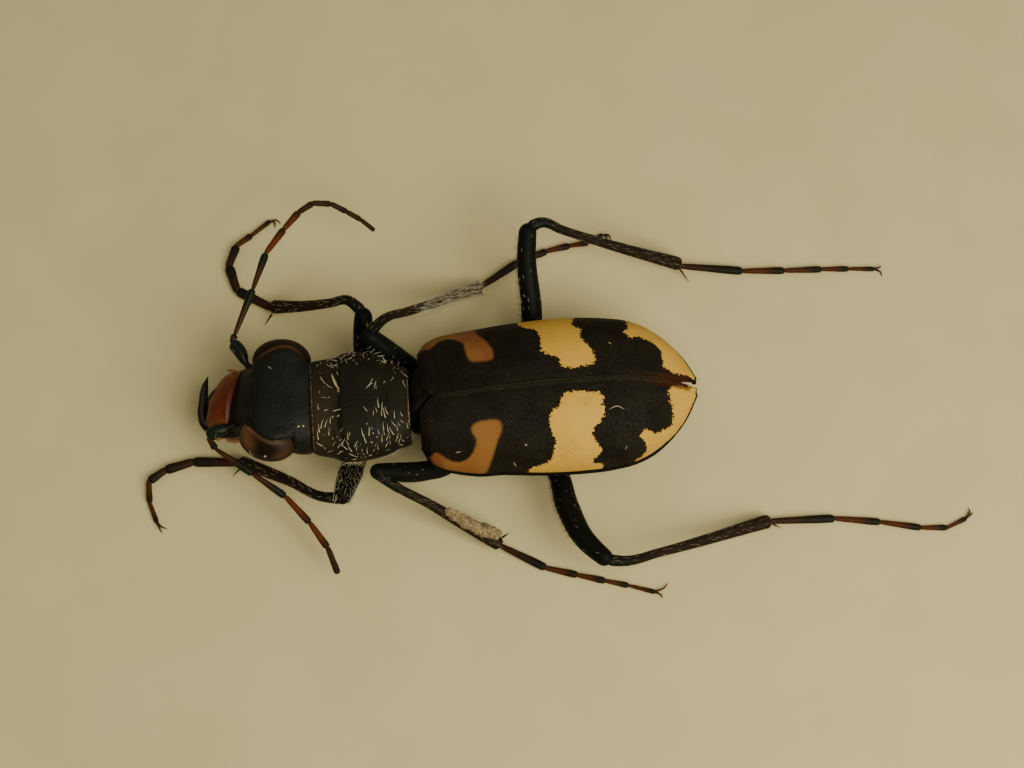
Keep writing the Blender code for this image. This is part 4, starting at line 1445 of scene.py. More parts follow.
@dataclass
class Trunk:
    """Prothorax, the body under the elytra, and the small plate between them."""

    prothorax: tuple = (
        (-4.22, 1.24, 3.86, 2.36, 3.18, 2.35, -0.05),
        (-4.29, 1.52, 4.06, 2.2, 3.19, 2.35, -0.05),
        (-4.26, 1.63, 4.17, 2.08, 3.2, 2.35, -0.06),
        (-4.12, 1.71, 4.24, 2.03, 3.21, 2.35, -0.07),
        (-3.85, 1.77, 4.26, 2.0, 3.24, 2.35, -0.09),
        (-3.5, 1.84, 4.27, 1.97, 3.28, 2.35, -0.13),
        (-3.25, 1.94, 4.34, 1.96, 3.31, 2.35, -0.15),
        (-2.75, 2.02, 4.4, 1.95, 3.35, 2.35, -0.14),
        (-2.1, 1.95, 4.42, 1.95, 3.35, 2.35, -0.13),
        (-1.62, 1.77, 4.33, 1.96, 3.3, 2.35, -0.18),
        (-1.2, 1.55, 4.2, 2.02, 3.24, 2.35, -0.2),
        (-0.95, 1.46, 4.15, 2.06, 3.2, 2.35, -0.2),
        (-0.76, 1.4, 4.08, 2.12, 3.16, 2.35, -0.19),
        (-0.7, 1.3, 3.98, 2.22, 3.14, 2.35, -0.19),
        (-0.76, 1.08, 3.8, 2.4, 3.12, 2.35, -0.18),
    )
    core: tuple = (
        (-0.86, 0.9, 3.62, 2.2, 2.9),
        (-0.46, 1.22, 3.92, 2.05, 2.9),
        (-0.2, 1.42, 4.06, 1.9, 2.8),
        (0.1, 1.4, 4.04, 1.75, 2.7),
        (0.8, 1.78, 3.96, 1.6, 2.5),
        (1.8, 2.1, 4.06, 1.5, 2.45),
        (3.0, 2.26, 4.16, 1.45, 2.45),
        (4.3, 2.34, 4.18, 1.45, 2.45),
    )
    belly: tuple = (
        (4.2, 2.34, 4.18, 1.45, 2.45),
        (5.5, 2.36, 4.12, 1.45, 2.45),
        (6.7, 2.22, 3.96, 1.5, 2.46),
        (7.6, 1.92, 3.72, 1.62, 2.5),
        (8.3, 1.46, 3.42, 1.82, 2.56),
        (8.8, 0.98, 3.16, 2.06, 2.62),
        (9.12, 0.42, 2.98, 2.36, 2.66),
    )
    plate: tuple = (
        (-0.66, 0.44, 4.08, 3.86, 4.0, 2.6, -0.13),
        (-0.6, 0.6, 4.24, 3.86, 4.06, 2.6, -0.13),
        (-0.44, 0.52, 4.34, 3.86, 4.1, 2.6, -0.14),
        (-0.24, 0.34, 4.4, 3.9, 4.14, 2.6, -0.17),
        (-0.08, 0.16, 4.44, 3.96, 4.18, 2.6, -0.2),
        (0.02, 0.03, 4.42, 4.04, 4.22, 2.6, -0.22),
    )
    hips: tuple = (
        ((-2.35, 0.62, 1.86), (0.56, 0.64, 0.52)),
        ((0.5, 0.62, 1.45), (0.62, 0.66, 0.46)),
        ((3.4, 0.72, 1.44), (0.52, 0.86, 0.44)),
    )

    def shield(self) -> Skin:
        """The prothorax with its two cross grooves, middle line and pale edges.

        Returns:
            The prothorax's skin.
        """
        points, upward = lofted(self.prothorax, 210, 240)
        skin = Skin(points)
        x, y = points[..., 0], points[..., 1]
        above = step(-0.1, 0.45, upward)
        wobble = 0.05 * np.sin(y * 3.1 + 0.6) + 0.03 * np.sin(y * 7.3)
        bow = 0.1 * (y / 1.8) ** 2
        middle = y + 0.2 + 0.03 * np.sin(x * 5.0)
        relief = -0.065 * hump(x - 0.6 * wobble, -3.28, 0.11) * above
        relief += -0.07 * hump(x - bow - 0.5 * wobble, -1.58, 0.12) * above
        relief += -0.02 * hump(middle, 0.0, 0.035) * step(-3.2, -2.9, x) * step(-1.5, -1.8, x) * above
        relief += 0.03 * hump(np.abs(y + 0.15), 0.75, 0.45) * hump(x, -2.4, 0.5) * above
        rim = step(0.5, 0.2, upward) * step(-0.2, 0.1, upward)
        relief += -0.03 * hump(np.abs(y + 0.14), 1.62, 0.05) * hump(x, -2.5, 1.1) * rim
        relief += 0.003 * np.sin(x * 31.0 + 3.0 * np.sin(y * 5.0)) * hump(x, -3.75, 0.4) * above
        relief += 0.0012 * np.sin(x * 24.0 + 4.0 * np.sin(y * 3.0 + x)) * hump(x, -2.4, 0.7) * above
        skin.emboss(relief)
        # Painted sheen: a brown sheen painted on the front lobe, stronger on the left side.
        front = step(-3.3, -3.6, x) * above
        skin.marks["tint"] = np.clip(front * (0.45 + 0.55 * step(0.6, -0.6, y)), 0.0, 1.0)
        at_front = 0.004 - np.abs(x + 4.205)
        at_rear = np.where(np.abs(y + 0.28) < 0.88, 0.008 - np.abs(x + 0.745), -1.0)
        skin.marks["edge"] = np.where(upward > 0.1, np.maximum(at_front, at_rear), -1.0)
        inside = step(-4.12, -4.0, x) * step(-0.76, -0.9, x)
        from_middle = np.abs(y + 0.14)
        share = np.where(y > 0.0, 1.0, 0.75)
        verge = np.where(y > 0.0, 1.4, 1.25)
        sides = share * step(verge - 0.12, verge + 0.08, from_middle) * step(0.0, 0.25, upward)
        lobe = 0.45 * step(-3.05, -3.25, x) * above
        clusters = 0.9 * hump(x, -1.8, 0.36) * hump(np.abs(y + 0.2), 0.62, 0.26) * above
        corners = 0.8 * step(-1.5, -1.25, x) * step(0.55, 0.75, from_middle) * above
        skin.marks["fleece"] = inside * np.clip(np.maximum.reduce([sides, lobe, clusters, corners]), 0.0, 1.0)
        skin.marks["flank"] = step(-0.1, -0.4, upward) * step(-4.0, -3.7, x)
        sweep = -0.3 + 0.9 * hump(x, -3.5, 0.4) - 0.3 * hump(x, -1.3, 0.4)
        inward = -np.sign(y + 0.14) * step(0.1, 0.9, np.abs(y + 0.14))
        skin.comb(np.stack([sweep, inward, np.full_like(x, 0.22)], axis=-1))
        return skin

    def hip(self, index: int, side: Side) -> Skin:
        """The round hip piece of one leg.

        Args:
            index: Which pair of legs, from the front.
            side: Which side.

        Returns:
            The hip's skin.
        """
        middle, radii = self.hips[index]
        skin = ball((middle[0], middle[1] * side.value, middle[2]), radii, 48, 64)
        skin.comb((0.3, 0.6 * side.value, -0.4))
        return skin

    def build(self, brush: BristleBrush) -> None:
        """Casts the trunk's pieces.

        Args:
            brush: Grows the bristles.
        """
        front_hips = [self.hip(0, side) for side in Side]
        for hip in front_hips:
            hip.finish = 1
        membranes = []
        for spot in ((-2.78, -1.66, 2.06), (-2.2, 1.6, 2.02)):
            fold = ball(spot, (0.42, 0.4, 0.3), 30, 40)
            fold.finish = 2
            membranes.append(fold)
        shield = Mould("pronotum_and_sides").add(self.shield(), *front_hips, *membranes)
        shield = shield.cast([PRONOTUM, UNDERSIDE, MEMBRANE], "black", ["prothorax"])
        white = Bristles(0.14, 0.38, 0.02, lean=0.86, jitter=0.42, spread=0.45, bend=0.22, seed=4)
        brush.grow("pronotum_bristles", shield, "fleece", white)
        brush.grow("flank_bristles", shield, "flank",
            Bristles(0.11, 0.36, 0.011, lean=0.8, jitter=0.3, seed=6))

        points, upward = lofted(self.core, 120, 160)
        chest = Skin(points)
        x = points[..., 0]
        chest.emboss(-0.05 * hump(x, 1.35, 0.07) - 0.05 * hump(x, 2.9, 0.06) * step(0.1, -0.3, upward))
        chest.marks["flank"] = step(0.35, 0.0, upward) * step(-0.2, 0.2,
            x) * (0.35 + 0.65 * step(-0.8, -0.2, upward))
        chest.comb((0.8, 0.0, -0.3))
        hips = [self.hip(index, side) for index in (1, 2) for side in Side]
        made = Mould("chest").add(chest, *hips).cast([UNDERSIDE], "black", ["thorax"])
        brush.grow("chest_bristles", made, "flank", Bristles(0.12, 0.34, 0.01, lean=0.8, jitter=0.25, seed=7))

        points, upward = lofted(self.belly, 130, 150)
        belly = Skin(points)
        x = points[..., 0]
        for place in (4.9, 5.8, 6.7, 7.5, 8.25):
            ring = -0.05 * hump(x, place, 0.05) + 0.02 * hump(x, place - 0.12, 0.08)
            belly.emboss(ring * step(0.5, 0.0, upward))
        belly.marks["flank"] = hump(upward, -0.35, 0.3) * 0.8
        belly.comb((0.9, 0.0, -0.2))
        made = Mould("belly").add(belly).cast([UNDERSIDE], "black", ["abdomen"])
        brush.grow("belly_bristles", made, "flank", Bristles(0.15, 0.3, 0.009, lean=0.85, jitter=0.2, seed=8))

        points, _ = lofted(self.plate, 40, 48)
        Mould("little_plate").add(Skin(points)).cast([BLACK], "black", ["scutellum"])


@dataclass
class Elytron:
    """One wing case: a thin domed shell with its seam bead, rolled margin and painted patches."""

    side: Side
    stations: tuple = (
        (-0.36, 1.75, 4.2, 3.02),
        (-0.1, 2.14, 4.36, 2.9),
        (0.3, 2.4, 4.48, 2.76),
        (0.9, 2.56, 4.6, 2.66),
        (1.8, 2.68, 4.72, 2.6),
        (2.9, 2.8, 4.8, 2.6),
        (4.0, 2.87, 4.82, 2.6),
        (5.3, 2.89, 4.78, 2.6),
        (6.5, 2.81, 4.65, 2.6),
        (7.4, 2.62, 4.45, 2.62),
        (8.2, 2.2, 4.13, 2.66),
        (8.85, 1.6, 3.77, 2.74),
        (9.35, 0.9, 3.4, 2.84),
        (9.66, 0.3, 3.14, 2.94),
    )
    seam_drift: tuple = ((-0.36, -0.25), (0.0, -0.27), (2.2, -0.19), (4.6, -0.07), (6.7, 0.0), (9.66, 0.0))
    wall: float = 0.13
    power: float = 2.25

    PATCHES = {
        Side.LEFT: {
            "shoulder": (
                (-0.6, 2.35), (-0.05, 2.36), (0.27, 2.4), (0.74, 2.78), (1.17, 2.8), (1.5, 2.45), (1.62, 2.0),
                (1.48, 1.68), (1.58, 1.44), (1.98, 1.34), (2.42, 1.38), (2.56, 1.62), (2.36, 2.16),
                (2.14, 2.82),
                (1.88, 3.7), (1.6, 4.6), (0.4, 4.5), (-0.6, 3.9),
            ),
            "band": (
                (4.92, 0.56), (4.62, 0.95), (4.27, 1.36), (4.33, 1.8), (4.47, 2.15), (4.38, 2.6),
                (4.24, 3.05),
                (3.9, 3.3), (3.5, 3.54), (3.45, 4.6), (5.75, 4.6), (6.1, 3.52), (6.12, 3.4), (5.74, 3.28),
                (6.06, 2.66), (5.88, 2.36), (5.78, 1.94), (6.06, 1.57), (6.26, 1.22), (6.16, 0.95),
                (6.24, 0.7),
                (5.8, 0.52),
            ),
            "tip": (
                (7.3, 3.45), (7.6, 3.0), (7.7, 2.55), (7.54, 2.08), (7.72, 1.84), (7.95, 2.02), (8.22, 1.96),
                (8.58, 1.7), (8.74, 1.28), (8.66, 0.72), (8.66, 0.3), (9.0, 0.2), (9.9, 0.05), (10.2, 0.8),
                (9.6, 4.0), (7.4, 4.7),
            ),
        },
        Side.RIGHT: {
            "shoulder": (
                (-0.6, 1.8), (-0.22, 1.62), (0.11, 1.78), (0.49, 2.12), (0.99, 2.12), (1.34, 1.8),
                (1.42, 1.38),
                (1.54, 0.98), (1.88, 0.88), (2.33, 0.94), (2.38, 1.26), (2.14, 1.86), (1.86, 2.32),
                (1.66, 3.4),
                (1.5, 4.6), (0.3, 4.4), (-0.6, 3.6),
            ),
            "band": (
                (3.3, 4.6), (3.35, 2.9), (3.55, 2.46), (3.82, 2.3), (4.07, 2.0), (4.14, 1.54), (4.22, 1.06),
                (4.7, 0.8), (4.78, 0.6), (5.04, 0.41), (5.8, 0.48), (6.03, 0.68), (5.9, 1.16), (5.58, 1.64),
                (5.52, 2.06), (5.28, 2.48), (5.4, 3.2), (5.7, 4.6),
            ),
            "tip": (
                (7.35, 4.6), (7.3, 2.36), (7.18, 1.92), (7.32, 1.66), (7.68, 1.72), (8.02, 1.62),
                (8.34, 1.32),
                (8.48, 0.9), (8.5, 0.5), (8.8, 0.34), (9.4, 0.24), (9.95, 0.05), (10.2, 0.9), (9.6, 4.0),
            ),
        },
    }

    def build(self) -> None:
        """Casts the wing case."""
        stations = np.asarray(self.stations)
        rows, columns, curl = 300, 120, 10
        sign = float(self.side.value)
        share = np.linspace(0.0, 1.0, rows)
        share = share + 0.35 * (step(0.0, 1.0, share) - share)
        place = stations[0, 0] + (stations[-1, 0] - stations[0, 0]) * share
        width, crown, margin = eased(stations[:, 0], stations[:, 1:], place).T[:, :, None]
        if self.side is Side.LEFT:
            width = width + (0.1 * step(-0.36, 0.0, place) * step(2.6, 1.6, place))[:, None]
        notch = 0.48 * (0.1 - place) / 0.46
        inner = np.maximum(np.maximum(0.01, notch), 0.01 + 0.1 * step(8.9, 9.66, place))[:, None]
        start = np.arccos(np.clip(inner / width, 0.0, 0.95))
        angle = start * (1.0 - np.linspace(0.0, 1.0, columns)[None])
        reach = np.abs(np.cos(angle)) ** self.power + np.abs(np.sin(angle)) ** self.power
        reach = reach ** (-1.0 / self.power)
        y = width * np.cos(angle) * reach
        z = margin + (crown - margin) * np.sin(angle) * reach
        lengths = np.hypot(np.diff(y, axis=1), np.diff(z, axis=1))
        arc = np.concatenate([np.zeros((rows, 1)), np.cumsum(lengths, axis=1)], axis=1)
        x = np.broadcast_to(place[:, None], y.shape)
        outer = np.stack([x, y, z], axis=-1)
        normal = np.cross(np.gradient(outer, axis=1), np.gradient(outer, axis=0))
        normal /= np.maximum(np.linalg.norm(normal, axis=-1, keepdims=True), 1e-12)
        normal *= np.sign(normal[:, :1, 2:3])
        left_over = arc[:, -1:] - arc
        height = 0.014 * hump(arc, 0.02, 0.04) - 0.014 * hump(arc, 0.13, 0.05) * step(0.2, 0.8, x)
        height += 0.045 * hump(left_over, 0.0, 0.05) - 0.03 * hump(left_over, 0.15, 0.06)
        height += 0.05 * hump(np.hypot(x - 0.75, arc - 2.3), 0.0,
            0.42) - 0.03 * hump(np.hypot(x - 0.9, arc - 1.3), 0.0, 0.35)
        height += 0.01 * np.sin(x * 2.1 + 1.3) * np.sin(arc * 2.6 + x * 0.4)
        outer = outer + normal * height[..., None]
        roll = np.linspace(0.0, -0.62 * math.pi, curl)[None, 1:]
        small = 0.075
        y_roll = outer[:, -1:, 1] - small + small * np.cos(roll)
        z_roll = outer[:, -1:, 2] + small * np.sin(roll)
        flap = np.linspace(0.05, 0.34, 6)[None]
        y_flap = np.maximum(y_roll[:, -1:] - flap, 0.02)
        z_flap = z_roll[:, -1:] + 0.12 * flap
        y_edge, z_edge = np.concatenate([y_roll, y_flap], axis=1), np.concatenate([z_roll, z_flap], axis=1)
        y_edge = np.maximum(y_edge, inner)
        edge = np.stack([np.broadcast_to(place[:, None], y_edge.shape), y_edge, z_edge], axis=-1)
        inside = outer - normal * np.minimum(self.wall, 0.45 * width)[..., None]
        inside[..., 1] = np.maximum(inside[..., 1], inner)
        edge_in = edge + np.array([0.0, 0.0, 0.05])
        edge_in[..., 1] = np.minimum(np.maximum(edge_in[..., 1] - 0.05, inner),
            np.maximum(inside[:, -1:, 1], inner))
        ring = np.concatenate([outer, edge, edge_in[:, ::-1], inside[:, ::-1]], axis=1)
        skin = Skin(ring, end=End.FOLD)
        extra = edge.shape[1]

        def spread(values: Array, edge_value: float | Array) -> Array:
            """A mark over the outer face, carried round the rolled edge and inside."""
            rim = np.broadcast_to(np.asarray(edge_value, float), (rows, extra))
            return np.concatenate([values, rim, rim[:, ::-1], values[:, ::-1]], axis=1)

        knots, drifts = zip(*self.seam_drift)
        drift = eased(knots, drifts, place)[:, None] * (1.0 - arc / arc[:, -1:])
        flat = np.stack([x, arc + sign * drift], axis=-1)
        for name, outline in self.PATCHES[self.side].items():
            distance = distance_to(np.asarray(outline), flat)
            skin.marks[name] = spread(distance, distance[:, -1:] - 0.02)
        seam = hump(arc, 0.02, 0.035) * step(0.1, 0.6, x) * step(8.9, 8.2, x)
        skin.marks["seam"] = spread(0.7 * seam, 0.0)
        rust = step(0.34, 0.1, arc) * step(7.3, 8.7, x) * step(0.0, 0.14, 9.45 - x)
        skin.marks["rust"] = spread(0.8 * rust, 0.0)
        border = 0.07 + (0.2 if self.side is Side.RIGHT else 0.15) * step(9.0, 7.4, x)
        skin.marks["rim"] = spread(np.maximum(border - left_over, x - 9.63), 1.0)
        skin.points[..., 1] = sign * skin.points[..., 1] + spread(drift, 0.0)
        name = f"elytron_{self.side.word}"
        Mould(f"wing_case_{self.side.word}").add(skin).cast([ELYTRA], "elytra", [name])


@dataclass
class Leg:
    """One leg: thigh with its small ring joint, shin with spurs, and a foot of five joints with claws."""

    name: str
    thigh_path: tuple
    shin_path: tuple
    toes: tuple
    claws: tuple
    spur: tuple
    thigh: tuple
    shin: tuple = (0.225, 0.185, 0.203, 0.262)
    toe_radii: tuple = (0.155, 0.135, 0.125, 0.11, 0.09)
    brushed: bool = False
    thigh_hair: float = 0.35
    mud: tuple = ()

    KNEE_DEPTH = 0.18
    CLAW_TIP_HEIGHT = 0.018
    SPUR_TIP_HEIGHT = 0.05

    def femur(self) -> list[Skin]:
        """The thigh and its ring joint.

        Returns:
            The thigh's skin and the ring's.
        """
        line = path_through(self.thigh_path, 160)
        length = np.linalg.norm(np.diff(line, axis=0), axis=1).sum()
        places, factor = end_rounding(90, 0.05, 1.1 * self.thigh[-1] / length)
        path = along_path(line, places)
        thigh = tube(path, eased(np.linspace(0.0, 1.0, len(self.thigh)), self.thigh, places) * factor, 44)
        place = np.repeat(places[:, None], 44, axis=1)
        thigh.marks["place"] = place
        thigh.marks["hair"] = step(0.0, 0.1, place) * step(1.0, 0.92, place) * self.thigh_hair
        facing = thigh.normals()
        front = step(0.75, 0.92, -facing[..., 0]) * step(0.1, 0.25, place) * step(0.97, 0.85, place)
        thigh.marks["fringe"] = front
        heading = unit(path[8] - path[0])
        hip = path[0]
        ring = tube(path_through([hip - 0.3 * heading, hip + 0.02 * heading, hip + 0.34 * heading], 30),
                    eased((0.0, 0.2, 0.55, 0.85, 1.0), (0.1, 0.26, 0.31, 0.24, 0.06),
                    np.linspace(0, 1, 30)), 32)
        return [thigh, ring]

    def tibia(self) -> list[Skin]:
        """The shin, widening to its end, with two spurs.

        Returns:
            The shin's skin and its spurs'.
        """
        before, knee = (np.asarray(point, float) for point in self.thigh_path[-2:])
        inside = knee - unit(knee - before) * self.KNEE_DEPTH
        line = path_through([inside, *self.shin_path[1:]], 160)
        length = np.linalg.norm(np.diff(line, axis=0), axis=1).sum()
        places, factor = end_rounding(90, self.shin[0] / length, 0.7 * self.shin[-1] / length)
        path = along_path(line, places)
        shin = tube(path, eased((0.0, 0.12, 0.65, 1.0), self.shin, places) * factor, 32)
        place = np.repeat(places[:, None], 32, axis=1)
        shin.marks["place"] = place
        shin.marks["hair"] = np.full(place.shape, 0.8)
        shin.marks["dense"] = step(0.35, 0.55, place) * step(1.0, 0.93, place)
        ridges = np.cos(np.linspace(0.0, 2.0 * math.pi, 32, endpoint=False) * 6.0)[None]
        shin.emboss(0.006 * ridges * step(0.05, 0.2, place))
        ankle = path[-1]
        heading = unit(path[-1] - path[-12])
        along_floor = heading * (1.0, 1.0, 0.0) / np.hypot(heading[0], heading[1])
        beside = [np.asarray(point, float) for point in self.spur]
        below = [ankle + (0.0, 0.0, -0.1), ankle + 0.4 * along_floor]
        skins = [shin]
        for root, tip in (beside, below):
            tip[2] = self.SPUR_TIP_HEIGHT if tip is below[1] else max(tip[2], self.SPUR_TIP_HEIGHT)
            middle = 0.5 * (root + tip) + (0.0, 0.0, 0.02)
            spur = tube(path_through([root, middle, tip], 16), np.linspace(0.05, 0.007, 16), 12)
            spur.finish = 1
            skins.append(spur)
        return skins

    def foot(self) -> list[Skin]:
        """Five joints that lie along the floor, and two claws.

        Returns:
            Skins of the joints and the claws.
        """
        ankle = self.shin_path[-1]
        joints = [np.array([ankle[0], ankle[1], 0.3])]
        for index, (x, y) in enumerate(self.toes):
            lift = 0.06 if self.brushed and index < 3 else 0.012
            joints.append(np.array([x, y, 0.85 * self.toe_radii[index] + lift]))
        skins = []
        slender = 0.8 if self.brushed else 0.7
        for index, (first, last) in enumerate(zip(joints, joints[1:])):
            swell = self.toe_radii[index]
            skin = segment(first, last, slender * swell, swell, rise=0.85, finish=self.toe_finish(index),
                overlap=0.07)
            topside, place = skin.marks["topside"], skin.marks["place"]
            skin.marks["hair"] = step(0.2, 0.5, place) * step(-0.3, 0.0, topside) * 0.8
            skin.marks["sole"] = step(0.0, -0.6, topside) * (1.0 if self.brushed and index < 3 else 0.0)
            skins.append(skin)
        heading = unit(joints[-1] - joints[-2])
        for tip in self.claws:
            root = joints[-1] - heading * 0.05
            tip = np.array([tip[0], tip[1], self.CLAW_TIP_HEIGHT])
            bend = root + 0.45 * (tip - root) + heading * 0.12
            bend[2] = 0.13
            claw = tube(path_through([root, bend, tip], 26),
                        eased((0.0, 0.35, 0.8, 1.0), (0.042, 0.036, 0.02, 0.005), np.linspace(0, 1, 26)),
                        14, 0.8)
            claw.finish = 2
            skins.append(claw)
        return skins

    def toe_finish(self, index: int) -> int:
        """Number of the finish of one foot joint: dark for the first and for the broad front ones."""
        return 0 if index == 0 or (self.brushed and index < 3) else 1

    def crust(self) -> Skin:
        """The lumpy crust of dry mud that clings to the shin.

        Returns:
            The crust's skin.
        """
        line = path_through(self.mud, 90)
        places = np.linspace(0.0, 1.0, 90)
        swells = 0.012 * np.sin(places * 47.0) + 0.02 * np.sin(places * 19.0 + 1.0)
        ends = np.sqrt(np.clip(1.0 - np.abs(2.0 * places - 1.0) ** 8, 0.0, 1.0))
        crust = tube(line, (0.18 + 0.08 * places + swells) * np.clip(ends, 0.05, 1.0), 48)
        x, y, z = np.moveaxis(crust.points, -1, 0)
        lumps = np.sin(x * 11.0 + 2.3 * np.sin(y * 9.0)) * np.sin(z * 13.0 + 2.0 * np.sin(x * 7.0))
        crumbs = np.sin(x * 29.0 + 2.0 * np.sin(z * 17.0)) * np.sin(y * 31.0 + 1.7 * np.sin(x * 19.0))
        crust.emboss(0.035 * lumps)
        crust.emboss(0.018 * crumbs)
        return crust

    def build(self, brush: BristleBrush) -> None:
        """Casts the leg's pieces and grows its bristles.

        Args:
            brush: Grows the bristles.
        """
        name = self.name
        thigh = Mould(f"thigh_{name}").add(*self.femur()).cast([THIGH], "limb_black", [f"femur_{name}"])
        shin = Mould(f"shin_{name}").add(*self.tibia()).cast([SHIN, CLAW], "limb_black", [f"tibia_{name}"])
        foot = Mould(f"foot_{name}").add(*self.foot())
        foot = foot.cast([TOE_DARK, TOE, CLAW], "toe_red", [f"tarsus_{name}"])
        dense = self.thigh_hair > 0.8
        kind = Bristles(0.085, 0.3, 0.012, lean=0.7, seed=11) if dense else Bristles(0.2, 0.2, 0.007,
            lean=0.6, seed=11)
        brush.grow(f"thigh_hairs_{name}", thigh, "hair", kind)
        brush.grow(f"shin_hairs_{name}", shin, "hair",
            Bristles(0.135, 0.22, 0.0075, lean=0.54, seed=12, finish=TAN_HAIR))
        brush.grow(f"foot_hairs_{name}", foot, "hair",
            Bristles(0.1, 0.12, 0.005, lean=0.7, seed=13, finish=BROWN_HAIR))
        if name.startswith("hind"):
            comb = Bristles(0.07, 0.17, 0.009, lean=0.2, jitter=0.12, spread=0.2, seed=16, finish=BROWN_HAIR)
            brush.grow(f"thigh_fringe_{name}", thigh, "fringe", comb)
        if name == "middle_right":
            fleece = Bristles(0.048, 0.3, 0.008, lean=0.8, jitter=0.28, seed=14)
            brush.grow("shin_fleece_middle_right", shin, "dense", fleece)
        if self.brushed:
            brush.grow(f"sole_brush_{name}", foot, "sole",
                Bristles(0.035, 0.065, 0.005, lean=0.35, jitter=0.12, seed=15))
        if self.mud:
            Mould(f"mud_{name}").add(self.crust()).cast([MUD], "limb_black")


FRONT = dict(toe_radii=(0.185, 0.18, 0.16, 0.115, 0.09), shin=(0.235, 0.195, 0.205, 0.265), brushed=True)
LEGS = (
    Leg(
        "front_right",
        ((-2.15, 1.28, 1.3), (-2.28, 2.4, 2.15), (-2.25, 3.72, 3.05)),
        ((-2.25, 3.8, 3.05), (-2.78, 4.08, 2.9), (-3.47, 4.21, 2.35), (-4.52, 4.48, 1.4),
        (-5.71, 4.86, 0.42)),
        ((-6.99, 5.65), (-7.26, 6.65), (-6.94, 7.44), (-6.36, 7.85), (-5.65, 8.38)),
        ((-5.27, 8.24), (-5.5, 8.1)), ((-5.72, 4.56, 0.45), (-6.01, 4.26, 0.12)),
        (0.3, 0.38, 0.41, 0.37, 0.29), **FRONT,
    ),
    Leg(
        "front_left",
        ((-2.7, -1.18, 1.32), (-2.95, -1.98, 1.8), (-3.4, -3.45, 2.55)),
        ((-3.42, -3.5, 2.5), (-4.12, -3.06, 2.12), (-5.24, -2.24, 1.48), (-7.11, -1.05, 0.4)),
        ((-8.84, -0.9), (-9.88, -1.16), (-10.48, -1.55), (-10.48, -2.33), (-10.23, -3.12)),
        ((-9.86, -3.33), (-10.05, -3.5)), ((-7.06, -1.28, 0.4), (-7.42, -1.52, 0.12)),
        (0.3, 0.4, 0.43, 0.38, 0.29), thigh_hair=1.0, **FRONT,
    ),
    Leg(
        "middle_right",
        ((0.2, 1.3, 0.98), (-1.07, 1.84, 2.54), (-2.2, 2.45, 3.95)),
        ((-2.15, 2.5, 4.05), (-1.47, 3.09, 3.5), (-0.65, 3.57, 2.75), (2.03, 5.2, 0.37)),
        ((3.53, 6.17), (4.6, 6.54), (5.46, 6.7), (6.16, 6.78), (6.72, 7.08)),
        ((7.0, 6.87), (6.8, 6.8)), ((1.96, 5.11, 0.5), (2.14, 4.89, 0.2)),
        (0.3, 0.36, 0.4, 0.38, 0.3),
    ),
    Leg(
        "middle_left",
        ((0.62, -1.4, 1.0), (0.45, -1.95, 1.35), (-0.31, -2.25, 1.85), (-2.22, -2.58, 3.22)),
        ((-2.22, -2.6, 3.25), (-1.58, -2.92, 2.85), (-0.2, -3.55, 1.95), (1.19, -4.27, 1.1),
        (2.28, -4.8, 0.45)),
        ((3.86, -5.68), (5.0, -6.01), (6.0, -6.29), (6.83, -6.51), (7.79, -6.81)),
        ((8.25, -6.47), (8.01, -7.05)), ((2.34, -4.56, 0.6), (2.61, -4.38, 0.5)),
        (0.28, 0.33, 0.37, 0.35, 0.28),
        mud=((0.33, -3.78, 1.9), (0.57, -3.9, 1.75), (1.2, -4.22, 1.4), (1.55, -4.35, 1.15),
        (1.9, -4.46, 1.0),
             (2.26, -4.55, 0.75)),
    ),
    Leg(
        "hind_right",
        ((3.66, 1.5, 1.08), (3.88, 3.4, 2.35), (3.8, 5.14, 3.2), (3.93, 6.42, 3.6)),
        ((4.05, 6.42, 3.6), (4.42, 6.43, 3.55), (5.17, 6.22, 3.2), (6.3, 5.98, 2.6), (9.5, 5.58, 0.5)),
        ((11.82, 5.3), (13.37, 5.23), (14.75, 5.2), (15.75, 5.16), (16.7, 5.1)),
        ((16.96, 5.24), (16.96, 4.79)), ((9.44, 5.44, 0.5), (9.79, 5.0, 0.12)),
        (0.32, 0.37, 0.375, 0.355, 0.32),
    ),
    Leg(
        "hind_left",
        ((3.82, -1.5, 1.08), (4.45, -2.5, 1.6), (4.75, -3.95, 2.05), (5.24, -5.25, 2.45),
        (6.14, -6.38, 2.88)),
        ((6.0, -6.33, 2.85), (6.6, -6.28, 2.65), (8.0, -5.85, 2.0), (12.1, -4.45, 0.4)),
        ((14.48, -4.44), (16.13, -4.67), (17.59, -4.97), (18.55, -5.02), (19.26, -4.7)),
        ((19.52, -4.47), (19.36, -4.28)), ((12.09, -4.54, 0.4), (12.49, -4.68, 0.12)),
        (0.31, 0.38, 0.42, 0.38, 0.3),
    ),
)

FEELERS = (
    Feeler(
        Side.RIGHT, ((-6.44, 1.66, 2.92), (-6.6, 1.92, 2.94), (-6.8, 2.36, 2.96), (-7.06, 2.7, 3.0)),
        ((-7.06, 2.7, 3.0), (-6.94, 2.98, 3.04), (-6.2, 4.56, 3.4), (-5.67, 5.88, 3.5), (-4.98, 6.81, 3.4),
         (-4.42, 7.51, 3.2), (-3.9, 7.9, 3.0), (-3.25, 7.94, 2.7), (-2.69, 7.7, 2.4), (-2.2, 7.47, 2.1),
         (-1.73, 7.13, 1.8)),
    ),
    Feeler(
        Side.LEFT, ((-6.95, -0.42, 2.96), (-7.54, -0.6, 2.93), (-7.8, -0.65, 2.9), (-8.05, -0.83, 2.78)),
        ((-8.05, -0.83, 2.78), (-7.8, -1.22, 2.64), (-6.53, -2.12, 2.26), (-5.41, -2.9, 1.8),
        (-4.58, -3.86, 1.5),
         (-3.98, -4.78, 1.3), (-3.66, -5.72, 1.1)),
        split=3,
    ),
)


